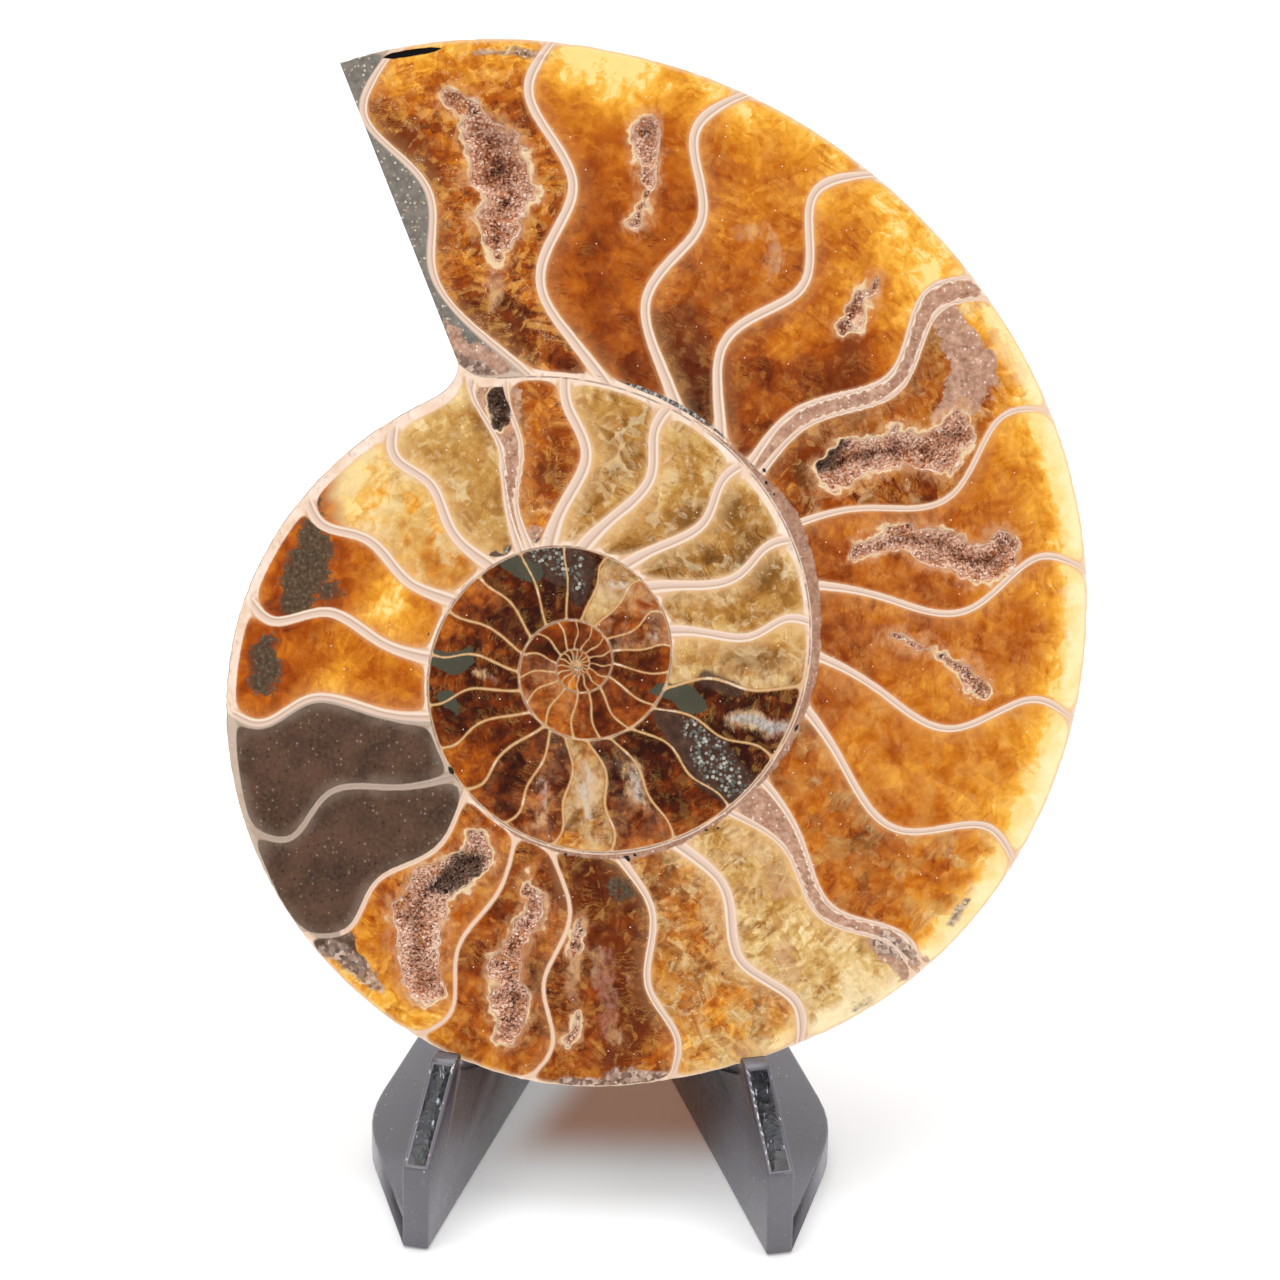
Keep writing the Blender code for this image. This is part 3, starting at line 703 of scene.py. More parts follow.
def face_values(turns, down, vertex, flat, bent, cavity):
    """The values of the layers at the corners of the cut face, by name."""
    count, per_count, half, number = septum_field(turns, down)
    tone, olive, milk, coarse = chamber_field(number, down)
    width = rim_radius(turns) - rim_radius(turns + 1.0)

    def filled(patches, spans):
        found = np.maximum(level(bent, patches)[vertex], span_level(count, per_count, spans) * 3.0)
        return np.clip(found, -3.0, 3.0)

    def along_wall(turns, values):
        return np.interp(turns, WALL_TURNS, values)

    values = {
        "count": count, "per_count": per_count, "half": half,
        "inner": (1.0 - down) * width, "outer": down * width, "fillet": along_wall(turns, FILLETS),
        "inner_half": along_wall(turns + 1.0, WALL_OUTER), "outer_half": along_wall(turns, WALL_INNER),
        "coarse": coarse, "tone": tone, "olive": olive, "milk": milk, "cavity": cavity[vertex],
        "sand": filled(SAND_PATCHES, SAND_SPANS), "sediment": filled(SEDIMENT_PATCHES, SEDIMENT_SPANS),
        "band": along_wall(turns + 1.0, WALL_SAND) - (1.0 - down) * width,
    }
    for name, chains in BENT_MARKS.items():
        values[name] = level(bent, chains)[vertex]
    for name, chains in PLAIN_MARKS.items():
        values[name] = level(flat, chains)[vertex]
    return values


def point_layer(mesh, name, values):
    """Three numbers for each vertex."""
    layer = mesh.attributes.new(name, "FLOAT_VECTOR", "POINT")
    layer.data.foreach_set("vector", np.array(values, np.float32).ravel())


def corner_layer(mesh, name, columns):
    """Three numbers for each corner; corners past the given ones hold zeros."""
    whole = np.zeros((len(mesh.loops), 3), np.float32)
    for i, column in enumerate(columns):
        whole[:len(column), i] = column
    layer = mesh.attributes.new(name, "FLOAT_VECTOR", "CORNER")
    layer.data.foreach_set("vector", whole.ravel())


def add_object(name, mesh):
    obj = bpy.data.objects.new(name, mesh)
    bpy.context.scene.collection.objects.link(obj)
    return obj


def smooth(mesh, degrees):
    """Smooth shading with edges sharper than an angle kept."""
    mesh.shade_smooth()
    mesh.set_sharp_from_angle(angle=math.radians(degrees))


def make_ammonite(materials):
    """The ammonite, and the places, normals and shades of the points that line its cavities."""
    section = Section()
    outline, mouth = build_face(section)
    outline.append(mouth[-1])
    turns, down = np.array(section.where).T
    radius = face_radius(turns, down)
    front = spiral_places(turns, radius, 0.0)
    face_count, corner_count = len(section.faces), len(section.corners)

    flat = front[:, [0, 2]]
    bent = flat + np.stack((rough(front, 3.6), rough(front + 60.0, 3.6)), axis=1)
    bent += 0.45 * np.stack((rough(front + 90.0, 1.3), rough(front + 30.0, 1.3)), axis=1)
    cavity, sunk = sink_cavities(front, bent, turns, radius, down)
    places = list(front)
    shell_faces = build_back(section, places, outline, mouth)
    places = np.array(places)
    seat = seat_matrix(places)
    wear_rim(places)

    used = np.zeros(len(places), bool)
    used[np.concatenate(section.faces)] = True
    renumbered = np.cumsum(used) - 1
    faces = [renumbered[face].tolist() for face in section.faces]
    mesh = bpy.data.meshes.new("ammonite")
    mesh.from_pydata((places[used] * MM).tolist(), [], faces)

    turns, down = np.array(section.corners).T
    vertex = np.concatenate(section.faces[:face_count])
    values = face_values(turns[:corner_count], down[:corner_count], vertex, flat, bent, cavity)
    values |= {"turns": turns, "down": down}
    for layer, names in LAYERS.items():
        corner_layer(mesh, layer, [values[name] for name in names])
    point_layer(mesh, "place", places[used])

    kinds = np.zeros(len(faces), np.int32)
    kinds[face_count:] = 1
    kinds[shell_faces:] = 2
    for material in materials:
        mesh.materials.append(material)
    mesh.polygons.foreach_set("material_index", kinds)
    mesh.update()
    smooth(mesh, 40.0)
    obj = add_object("ammonite", mesh)
    obj.matrix_world = seat
    lining = np.flatnonzero(sunk)[front[sunk, 1] > LINED_DEPTH]
    shades = np.stack((front[lining, 1], level(bent[lining], DARK)), axis=1)
    normals = np.array([mesh.vertices[renumbered[point]].normal for point in lining])
    return obj, (front[lining], normals, shades)


DRUSE_COUNT = 5600
LINED_DEPTH = 0.45
CRYSTAL_SIDES = 5
CRYSTAL_ROOT = 0.3
CRYSTAL_WAIST = 0.35


def make_druse(lining, material, seat):
    """Small pointed crystals of calcite that line the cavities, none reaching past the cut."""
    picked = RANDOM.choice(len(lining[0]), min(DRUSE_COUNT, len(lining[0])), replace=False)
    corners, faces, colours = [], [], []
    for place, normal, shade in zip(*(values[picked] for values in lining)):
        axis = Vector(normal) + Vector(RANDOM.normal(0.0, 0.45, 3))
        axis.normalize()
        width = RANDOM.uniform(0.11, 0.26)
        length = min(RANDOM.uniform(0.25, 0.8), 0.8 * place[1])
        across = axis.orthogonal().normalized()
        beside = axis.cross(across)
        turn = RANDOM.uniform(0.0, math.tau)
        root, tip = len(corners), len(corners) + 1
        start = Vector(place)
        corners += [start - axis * CRYSTAL_ROOT, start + axis * length]
        for k in range(CRYSTAL_SIDES):
            angle = turn + math.tau * k / CRYSTAL_SIDES
            around = (across * math.cos(angle) + beside * math.sin(angle)) * width
            corners.append(start + axis * length * CRYSTAL_WAIST + around)
            a, b = tip + 1 + k, tip + 1 + (k + 1) % CRYSTAL_SIDES
            faces += [(root, b, a), (tip, a, b)]
        colours += [(RANDOM.uniform(), *shade)] * (2 + CRYSTAL_SIDES)
    corners = np.array(corners)
    mesh = bpy.data.meshes.new("druse")
    mesh.from_pydata((corners * MM).tolist(), [], faces)
    point_layer(mesh, "place", corners)
    point_layer(mesh, "crystal", colours)
    mesh.materials.append(material)
    mesh.update()
    obj = add_object("druse", mesh)
    obj.matrix_world = seat
    return obj


# ---- materials, written as formulas on procedural nodes

def colour(code):
    """A hexadecimal display colour as linear red, green and blue."""
    parts = [int(code[i:i + 2], 16) / 255.0 for i in (0, 2, 4)]
    return tuple(c / 12.92 if c <= 0.04045 else ((c + 0.055) / 1.055) ** 2.4 for c in parts)


def operation(name, turned=False):
    """A method of Value that makes a Math node."""
    def method(self, *others):
        values = (self, *others)
        return formula(name, *(values[::-1] if turned else values))
    return method


class Value:
    """A node's output, which takes part in arithmetic."""

    __add__ = __radd__ = operation("ADD")
    __sub__ = operation("SUBTRACT")
    __rsub__ = operation("SUBTRACT", turned=True)
    __mul__ = __rmul__ = operation("MULTIPLY")
    __truediv__ = operation("DIVIDE")
    __abs__ = operation("ABSOLUTE")

    def __init__(self, socket):
        self.socket = socket

    def split(self):
        """The three parts of a vector or colour."""
        return [Value(socket) for socket in node("SeparateXYZ", {0: self}).socket.node.outputs]


def connect(socket, value):
    """Feeds a socket with a node's output, a hexadecimal colour, a number or a vector."""
    if isinstance(value, Value):
        socket.id_data.links.new(value.socket, socket)
    else:
        socket.default_value = (*colour(value), 1.0) if isinstance(value, str) else value


def node(kind, inputs, output=0, tree=None, **settings):
    """A new node with its inputs by name or number, in the tree that they come from. Gives one output."""
    tree = tree or next(value.socket.id_data for value in inputs.values() if isinstance(value, Value))
    made = tree.nodes.new("ShaderNode" + kind)
    for name, value in settings.items():
        setattr(made, name, value)
    for name, value in inputs.items():
        connect(made.inputs[name], value)
    return Value(made.outputs[output])


def formula(name, *values):
    return node("Math", dict(enumerate(values)), operation=name)


def joined(*parts):
    return node("CombineXYZ", dict(enumerate(parts)))


def moved(where, by, amount):
    """The place where, shifted by amount times the vector by."""
    return node("VectorMath", {0: by, 1: (amount, amount, amount), 2: where}, operation="MULTIPLY_ADD")


def stretched(where, *factors):
    return node("VectorMath", {0: where, 1: factors}, operation="MULTIPLY")


def clouds(where, size, detail=3.0, roughness=0.55, distortion=0.0, output="Fac"):
    """Noise from 0 to 1 with features of a size in the units of where."""
    inputs = {"Vector": where, "Scale": 1.0 / size, "Detail": detail, "Roughness": roughness}
    return node("TexNoise", inputs | {"Distortion": distortion}, output)


def cells(where, size):
    """Cells of a size: how far off their middles are, in parts of it, and three random shares for each."""
    gap = node("TexVoronoi", {"Vector": where, "Scale": 1.0 / size}, "Distance")
    return gap, Value(gap.socket.node.outputs["Color"]).split()


def stripes_across(where, picks, size):
    """Straight stripes across each crystal, along a direction of its own."""
    x, _, z = where.split()
    return clouds(joined(x * (picks[0] - 0.5) + z * (picks[1] - 0.5), picks[2] * 40.0), size, 2.0)


def step(value, low, high, bottom=0.0, top=1.0):
    """Eased from bottom at low to top at high."""
    if low > high:
        low, high, bottom, top = high, low, top, bottom
    inputs = dict(enumerate((value, low, high, bottom, top)))
    return node("MapRange", inputs, interpolation_type="SMOOTHSTEP")


def gradient(value, *stops):
    """A colour for a value, from (value, colour) stops."""
    made = node("ValToRGB", {0: value})
    elements = made.socket.node.color_ramp.elements
    while len(elements) < len(stops):
        elements.new(1.0)
    for element, (position, code) in zip(elements, stops):
        element.position, element.color = position, (*colour(code), 1.0)
    return made


def mix(amount, first, second):
    return node("Mix", {0: amount, 6: first, 7: second}, 2, data_type="RGBA", clamp_factor=True)


def painted(base, *coats):
    """A colour with coats of (amount, colour) over it, the first one lowest."""
    for amount, coat in coats:
        base = mix(amount, base, coat)
    return base


class Paint:
    """One material: what it knows of the surface, and its shader."""

    def __init__(self, name):
        self.material = bpy.data.materials.new(name)
        self.material.use_nodes = True
        self.tree = self.material.node_tree
        self.shader = self.tree.nodes["Principled BSDF"]

    def attribute(self, name):
        return node("Attribute", {}, "Vector", self.tree, attribute_name=name)

    def coordinates(self):
        return node("TexCoord", {}, "Object", self.tree)

    def bump(self, height, strength, distance):
        inputs = {"Height": height, "Strength": strength, "Distance": distance}
        connect(self.shader.inputs["Normal"], node("Bump", inputs))

    def finish(self, base, roughness, **settings):
        connect(self.shader.inputs["Base Color"], base)
        connect(self.shader.inputs["Roughness"], roughness)
        for name, value in settings.items():
            self.shader.inputs[name.replace("_", " ").title().replace("Ior", "IOR")].default_value = value
        return self.material


HONEY = ((0.0, "300f06"), (0.14, "4d1a07"), (0.28, "6f2b08"), (0.42, "92400a"), (0.55, "b0580d"),
         (0.68, "c87518"), (0.80, "e19427"), (0.92, "f4b442"), (1.0, "fcd888"))
OLIVE = ((0.0, "2e1c0c"), (0.2, "5a3815"), (0.4, "8a5a22"), (0.55, "a97434"), (0.7, "be8e48"),
         (0.85, "d5af6c"), (1.0, "edd29c"))
SEPTUM = ((0.0, "d9b08a"), (0.14, "ecd5c0"), (0.26, "e3c8b6"), (0.46, "dcbfae"), (0.575, "d4b6a2"),
          (0.61, "b8937a"), (0.645, "dbbfa9"), (0.685, "bb9a83"), (0.72, "e9d2c0"), (0.86, "edd8c5"),
          (1.0, "d9b08a"))


def sediment_colour(place, grain, gap, speck):
    """Grey-brown sediment with dark, pale and rusty grains."""
    broad = clouds(place, 4.0)
    return painted(
        gradient(broad, (0.3, "422e25"), (0.5, "543b2e"), (0.7, "624737")),
        (step(broad, 0.58, 0.68) * 0.35, "5b3530"),
        (step(speck[0], 0.80, 0.9) * step(gap, 0.42, 0.2) * 0.5, "a7977f"),
        (step(speck[1], 0.84, 0.9) * step(gap, 0.45, 0.2) * 0.7, "2a211c"),
        (step(grain, 0.35, 0.75, 0.0, 0.3), "6f5f50"),
    )


def salt_and_pepper(grains):
    """Crust of pale and dark grains."""
    base = gradient(grains[0], (0.0, "6a5246"), (0.3, "8d7060"), (0.6, "aa8c79"), (0.9, "cdb6a4"))
    return mix(step(grains[1], 0.72, 0.86) * 0.6, base, "453b36")


def face_fields(p):
    """What the cut face's formulas know at a point: the mesh's layers, noises, and where the shell is."""
    at = SimpleNamespace(place=p.attribute("place"))
    for layer, names in LAYERS.items():
        vars(at).update(zip(names, p.attribute(layer).split()))

    # Noises from 0 to 1, and the four main ones about 0, by the size of their features.
    at.grain = clouds(at.place, 0.5, 3.0, 0.6)
    at.fine = clouds(at.place, 1.3, 4.0, 0.62)
    at.medium = clouds(at.place, 3.2, 4.0, 0.6, 0.6)
    at.broad = clouds(at.place, 8.0, 3.0, 0.5)
    scales = (at.grain, at.fine, at.medium, at.broad)
    at.grit, at.ripple, at.wave, at.swell = (scale - 0.5 for scale in scales)
    at.warped = moved(at.place, clouds(at.place, 3.0, 2.0, 0.5, output="Color"), 2.0)
    at.torn = moved(at.place, clouds(at.place, 0.9, 2.0, 0.6, output="Color"), 0.8)
    at.curd = clouds(at.warped, 2.1, 4.0, 0.66)
    at.feathers = clouds(stretched(at.warped, 1.0, 1.0, 0.5), 0.7, 3.0, 0.7)
    at.dots, at.dot_pick = cells(at.place, 0.5)

    # The two inner whorls, the outermost one and its right side.
    at.small = step(at.turns, 1.26, 1.34)
    at.outermost = step(at.turns, 1.003, 0.997)
    at.right_side = step(at.turns, 0.17, 0.23) * step(at.turns, 0.52, 0.46)

    # Where the shell is, in millimetres from its edge.
    at.near = formula("ROUND", at.count)
    at.off = (at.count - at.near) * at.per_count
    at.septum_gap = abs(at.off) - at.half * (at.small * -0.3 + 1.0)
    at.wall_gap = formula("SMOOTH_MIN", at.inner - at.inner_half, at.outer - at.outer_half, 0.3)
    at.shell_gap = formula("SMOOTH_MIN", at.septum_gap, at.wall_gap, at.fillet)
    at.shell = step(at.shell_gap + at.ripple * 0.2 + at.grit * 0.14, 0.10, -0.10)
    return at


def calcite_tone(at):
    """How light the calcite is: clouds, blades that grow in from the shell, facets, light painted along the
    rim, glow and dark parts.
    """
    # Light painted along the outer rim, more on the right side, as if shining through the thin edge.
    painted_rim_light = step(at.outer, 5.0, 0.0) * at.outermost * (at.right_side * 0.20 + 0.07)
    at.facet_gap, at.facets = cells(at.torn, 2.6)
    at.shards = cells(at.torn, 1.1)[1]
    at.stripes = stripes_across(at.place, at.facets, 0.42)
    at.blades = clouds(joined(at.off * 0.17, at.inner + at.wave * 2.4, at.near * 7.0), 0.55, 4.0, 0.66)
    clusters = step(clouds(at.place, 4.2, 2.0), 0.44, 0.60)
    at.bladed = step(abs(at.count - at.near), 0.47, 0.30) * clusters * (at.coarse * 0.9 + 0.12)
    tone = at.tone + at.swell * 0.55 + at.wave * 0.34 + at.ripple * (at.coarse * 0.5 + 0.12)
    tone += (at.blades - 0.5) * at.bladed * 1.35
    crystals = ((at.facets[0], 0.26, 0.02), (at.stripes, 0.55, 0.04), (at.shards[0], 0.16, 0.02))
    for contrast, if_coarse, always in crystals:
        tone += (contrast - 0.5) * (at.coarse * if_coarse + always)
    tone += at.small * (at.ripple * 0.4 + at.wave * 0.36 - 0.02)
    tone += painted_rim_light + step(at.glow + at.wave * 2.0, -1.6, 1.0) * 0.15
    tone -= step(at.curd, 0.44, 0.36) * (at.coarse * 0.14)
    darkened = step(at.dark + at.wave * 3.0, -2.6, 1.0) * 0.7
    return tone - (tone - 0.15 - at.fine * 0.12) * darkened


def calcite_colour(at, tone):
    """Honey-coloured or olive calcite, with all that is pale or dark in it."""
    green = gradient(tone, *OLIVE)
    honey = mix(at.small * 0.06, gradient(tone, *HONEY), green)
    olive = step(at.olive + at.wave * 0.6 + (at.facets[1] - 0.5) * 0.2, 0.26, 0.66)
    lively = step(tone, 0.10, 0.42, 0.1, 1.0)
    ruffled = step(at.coarse, 0.25, 0.85)

    # Curdled patches with torn edges, bright facets, clumps, flakes, dark hollows and needles.
    curdled = step(at.curd + (at.facets[2] - 0.5) * 0.05, 0.54, 0.62)
    curdled *= step(at.coarse, 0.15, 0.8, 0.06, 1.0) * step(at.fine, 0.3, 0.6, 0.2, 0.62)
    curds = mix(olive, mix(at.small * 0.7, "d2953f", "b07c4a"), "cfae7c")
    torn_edge = step(abs(at.curd - 0.545), 0.012, 0.002) * step(at.medium, 0.46, 0.58)
    bright = step(at.shards[1] + at.wave * 0.8, 0.62, 0.72) * step(at.coarse, 0.1, 0.8)
    glint = mix(olive, "efb862", "eedbb0")
    clump = step(clouds(at.torn, 2.4, 3.0, 0.6), 0.52, 0.64) * step(at.stripes, 0.36, 0.60, 0.15, 1.0)
    pale_clump = mix(olive, mix(at.small, "dd9c4e", "8f5a24"), "e3c79a")
    flakes = step(at.facet_gap + at.ripple * 0.3, 0.76, 0.86) * olive * (1.0 - at.small)
    hollow_shade = step(clouds(at.warped, 3.0, 3.0, 0.65), 0.42, 0.36) * step(at.stripes, 0.62, 0.42)
    needles = step(abs(at.blades - 0.5), 0.03, 0.004) * at.bladed

    # Veils, mist, specks, light painted beside the rim, and what is pale beside the shell.
    veil = step(at.white + at.wave * 2.6 + (at.feathers - 0.5) * 1.8, -0.4, 0.8) * (at.small * 0.3 + 0.62)
    veils = mix(step(at.broad, 0.42, 0.58), "e0b887", "b58572")
    veils = mix(step(at.white, 0.2, 1.1) * at.small, veils, "d4cdc2")
    mist = at.milk * step(at.medium, 0.36, 0.62) * step(at.feathers, 0.3, 0.7, 0.3, 1.0)
    speck, speck_pick = cells(at.place, 1.3)
    specks = step(speck, 0.09, 0.04) * step(speck_pick[2], 0.5, 0.55)
    # A pale glow painted along the rim, strongest on the right side, as if light shone through the thin
    # edge.
    painted_rim_glow = step(at.outer + at.wave * 6.0 + at.swell * 4.0, 3.0, 0.2) * at.right_side * 0.6
    painted_rim_glow = formula("MAXIMUM", painted_rim_glow, step(at.outer + at.ripple * 0.5, 0.7, 0.0) * 0.5)
    halo = step((at.shell_gap + at.ripple * 0.35) / (at.half * 0.7 + 0.12), 1.0, -0.1)
    soft_side = step(at.off / (at.half + 0.4), 3.2, 0.6) * step(at.off, 0.0, 0.2) * step(at.small, 1.0, 0.4)
    return painted(
        mix(olive, honey, green),
        (curdled * lively, curds),
        (torn_edge * step(at.coarse, 0.4, 0.75) * 0.6, "ecd0a0"),
        (bright * step(at.stripes, 0.42, 0.62) * 0.4, glint),
        (clump * lively * ruffled * (olive * 0.08 + 0.36), pale_clump),
        (flakes * lively * 0.4, "ecd6ac"),
        (hollow_shade * ruffled * 0.4, mix(olive, "5c2408", "6a4618")),
        (needles * 0.45, glint),
        (veil * step(at.feathers, 0.30, 0.62, 0.25, 0.85), veils),
        (mist * 0.8, mix(at.small * 0.6, "dcae72", "c9bba2")),
        (specks * 0.8, "fff0d8"),
        (painted_rim_glow * at.outermost, "fff0c8"),
        (halo * step(tone, 0.0, 0.9, 0.3, 0.66), mix(at.small, mix(olive, "dba070", "e6c196"), "a8783f")),
        (soft_side * (olive * 0.3 + 0.12), "e9bd84"),
    )


def sand_colour(at):
    """Pink-grey sand with white and brown grains."""
    near = step(at.dots, 0.45, 0.15)
    return painted(
        gradient(at.fine, (0.32, "8a5f4a"), (0.5, "ab7f67"), (0.68, "cda58c")),
        (step(at.dot_pick[0], 0.72, 0.88) * near * 0.85, "eadbd0"),
        (step(at.dot_pick[1], 0.9, 0.94) * near * 0.7, "6a4436"),
        (step(at.grain, 0.4, 0.7, 0.0, 0.4), "dcbca6"),
    )


def matrix_colour(at):
    """The sediment that fills chambers: lit beside the shell, greyer at the mouth, greenish further in."""
    lit = step(at.shell_gap + at.wave * 1.2, 1.5, 0.0)
    flecks = step(at.dots, 0.42, 0.26) * step(at.dot_pick[2], 0.5, 0.56)
    mouth_tint = gradient(at.fine, (0.35, "6c6862"), (0.6, "8a847b"))
    mouth_tint = mix(flecks * 0.9, mouth_tint, gradient(at.dot_pick[1], (0.0, "b09a76"), (0.9, "dcd2c2")))
    return painted(
        sediment_colour(at.place, at.grain, at.dots, at.dot_pick),
        (lit * step(at.broad, 0.4, 0.6, 0.1, 0.5), "8a7a6c"),
        (step(at.turns, 0.08, 0.06) * 0.85, mouth_tint),
        (at.outermost * -0.85 + 0.85, "46483a"),
    )


def chamber_colour(at, calcite, sandy, sand_here, crust_here):
    """The calcite with mud, silver specks, embers, soot, sediment, sand and crust over it."""
    muddy = step(at.mud + at.wave * 1.6, -0.3, 0.4)
    silver_here = step(at.silver + at.wave * 1.6, -0.8, 0.1)
    dot = step(at.dots, 0.56, 0.36) * step(at.dot_pick[0] + silver_here * 0.8, 0.80, 0.88)
    ember = step(at.soot + at.wave * 3.4, -4.4, -0.4) * at.outermost * step(at.dark, -2.0, -4.0)
    net = step(at.grain * 0.6 + at.fine * 0.4 + at.soot * 0.16, 0.40, 0.52)
    sooty = step(at.soot + at.wave * 5.6 + at.ripple * 2.4 + at.grit * 1.2, -1.3, 0.5) * net
    return painted(
        calcite,
        (muddy * 0.9, gradient(at.fine, (0.3, "38261d"), (0.5, "4a342a"), (0.7, "5b4438"))),
        (dot * silver_here, gradient(at.dot_pick[1], (0.0, "565a54"), (0.6, "7f837b"), (0.95, "b4b2a6"))),
        (ember * 0.88, gradient(at.medium, (0.35, "6e2205"), (0.5, "a4480b"), (0.65, "cc7218"))),
        (sooty * 0.95, gradient(at.grain, (0.35, "3c3226"), (0.6, "5a4e3e"), (0.72, "85796a"))),
        (step(at.sediment + at.ripple * 0.9, -0.1, 0.14), matrix_colour(at)),
        (sand_here * 0.94, sandy),
        (crust_here * 0.9, salt_and_pepper(at.dot_pick)),
    )


def shell_colour(at):
    """The shell's own layers: cream outside, pink within, with a brown hairline, stained at the foot."""
    across = at.off / (at.half + 0.05) * 0.5 + 0.5 + at.swell * 0.3
    foot = step(at.septum_gap - at.wall_gap, -0.35, 0.5)
    base = gradient(at.medium, (0.3, "e3c2a6"), (0.5, "eed3bd"), (0.7, "f5e3d4"))
    buried = step(at.sediment, 0.6, 1.4) * at.outermost
    return painted(
        gradient(across, *SEPTUM),
        (step(at.half, 0.42, 0.2), gradient(at.turns * 0.3, (0.25, "e6c6ac"), (0.4, "d3a877"))),
        (at.small * step(at.medium, 0.55, 0.68) * 0.7, "f1e2cf"),
        (foot, mix(at.small * 0.6, base, "c79a70")),
        (step(at.feathers, 0.56, 0.7) * foot * 0.5, "b99a88"),
        (buried * step(foot, 1.0, 0.3, 0.55, 0.7), mix(at.fine, "857468", "a8998c")),
    )


def cavity_colour(at, lumps):
    """The cavities' own lining: small crystals, pink and cream, with shade painted darker with depth, and
    highlights and shade painted on the bumps.
    """
    # Shade painted darker the deeper a point lies inside a cavity, with random tone.
    depth = at.cavity * 0.2 + at.wave * 0.9 + 0.12
    return painted(
        gradient(depth, (0.0, "ecd0b8"), (0.2, "deb192"), (0.42, "c98f6e"), (0.65, "ae7050"),
                 (0.9, "82472e")),
        # lumps is also the height of the bumps in the cavities: the pale coat is a painted highlight on
        # their crests, the dark one painted shade in their dips.
        (step(lumps, 0.50, 0.66) * 0.6, "f8e8d8"),
        (step(lumps, 0.48, 0.36) * 0.55, "96502c"),
        (step(at.curd, 0.52, 0.64) * 0.55, gradient(lumps, (0.35, "a8520f"), (0.65, "e6a350"))),
        (step(at.dark + at.ripple * 2.0, -1.0, 0.6) * 0.88, "30170d"),
        (step(at.dot_pick[0], 0.80, 0.92) * step(at.dots, 0.4, 0.2) * 0.6, "fbeee6"),
    )


def polished_section():
    """The cut and polished face: calcite in the chambers, pale septa and walls, cavities and sediment."""
    p = Paint("polished_section")
    at = face_fields(p)
    sandy = sand_colour(at)
    sand_here = step(at.sand + at.ripple * 1.9 + at.wave * 2.6 + at.grit * 0.8, -0.15, 0.25)
    crust_here = step(at.crust + at.ripple * 1.3, -0.2, 0.4)
    calcite = calcite_colour(at, calcite_tone(at))

    sandy_band = step(at.band + at.ripple * 0.9 + at.swell * 0.8, -0.06, 0.12) * step(at.inner, 0.12, 0.3)
    inside = at.outer + at.outermost * step(at.turns, 0.78, 0.7)
    wall_line = step(formula("MINIMUM", at.inner, inside), 0.17, 0.05) * step(at.medium, 0.38, 0.56)
    seam = gradient(at.grain, (0.35, "2a2624"), (0.5, "6b6560"), (0.62, "c4bdb6"))
    seam = mix(step(at.outer, 3.0, 2.0) * at.outermost, seam, "0b0b0c")
    pore_here = step(at.pore + at.ripple * 0.2, -0.04, 0.06)
    lumps = clouds(at.warped, 1.0, 4.0, 0.75)
    hollow = step(at.cavity + at.ripple * 0.6, -0.02, 0.14)
    around_hollow = step(at.cavity + at.wave * 2.4 + (at.feathers - 0.5) * 3.0, -1.6, 0.3)
    lip = step(abs(at.cavity + 0.1 + at.ripple * 1.7), 0.36, 0.04) * step(at.broad, 0.44, 0.54)
    surface = painted(
        chamber_colour(at, calcite, sandy, sand_here, crust_here),
        (at.shell, shell_colour(at)),
        (sandy_band, mix(0.35, sandy, "8d6652")),
        (wall_line * 0.7, "765a49"),
        (step(at.streak + at.ripple * 0.3, -0.05, 0.05), seam),
        (pore_here, "17100d"),
        (around_hollow * step(at.shell, 0.6, 0.0) * 0.62, mix(lumps, "b86a30", "ecbc8c")),
        (hollow, cavity_colour(at, lumps)),
        (lip * step(at.shell, 0.9, 0.2) * 0.85, "ebd0a8"),
    )
    matt = formula("MAXIMUM", hollow, formula("MAXIMUM", crust_here, pore_here))
    roughness = formula("MAXIMUM", matt * 0.55, step(sand_here, 0.0, 1.0, 0.2, 0.42)) + at.ripple * 0.06
    relief = at.grain * formula("MAXIMUM", matt, sand_here * 0.5) + at.fine * 0.05 + lumps * hollow
    p.bump(relief, 0.7, 0.0003)
    return p.finish(surface, roughness, specular_ior_level=0.28, coat_weight=0.16, coat_roughness=0.08)


def druse_crystals():
    """Glassy points of calcite: cream and pink near the cut, with shade painted tan and brown with depth,
    and a few painted near-white as highlights.
    """
    p = Paint("druse_crystals")
    place = p.attribute("place")
    tint, depth, dark = p.attribute("crystal").split()
    medium = clouds(place, 3.2, 4.0, 0.6, 0.6)
    frost = clouds(place, 0.35, 2.0)
    # Shade painted darker the deeper a crystal stands in its cavity, with random tone.
    shade = depth * 0.07 + (medium - 0.5) * 1.1 + (tint - 0.5) * 0.26 + 0.24
    amber = step(medium, 0.52, 0.64) * step(tint, 0.3, 0.7, 0.2, 0.8)
    base = painted(
        gradient(shade, (0.0, "f6e2d0"), (0.2, "ecc6ae"), (0.42, "dba98c"), (0.65, "c08264"),
                 (0.9, "8a4c32")),
        (amber, gradient(frost, (0.35, "b45c12"), (0.65, "e8a850"))),
        # A few crystals painted near-white as highlights.
        (step(tint, 0.86, 0.96) * 0.75, "fbf0e4"),
        (step(dark, -1.0, 0.6) * 0.85, gradient(tint, (0.0, "27130b"), (1.0, "6b4a38"))),
    )
    return p.finish(base, step(frost, 0.3, 0.7, 0.3, 0.5), specular_ior_level=0.35)


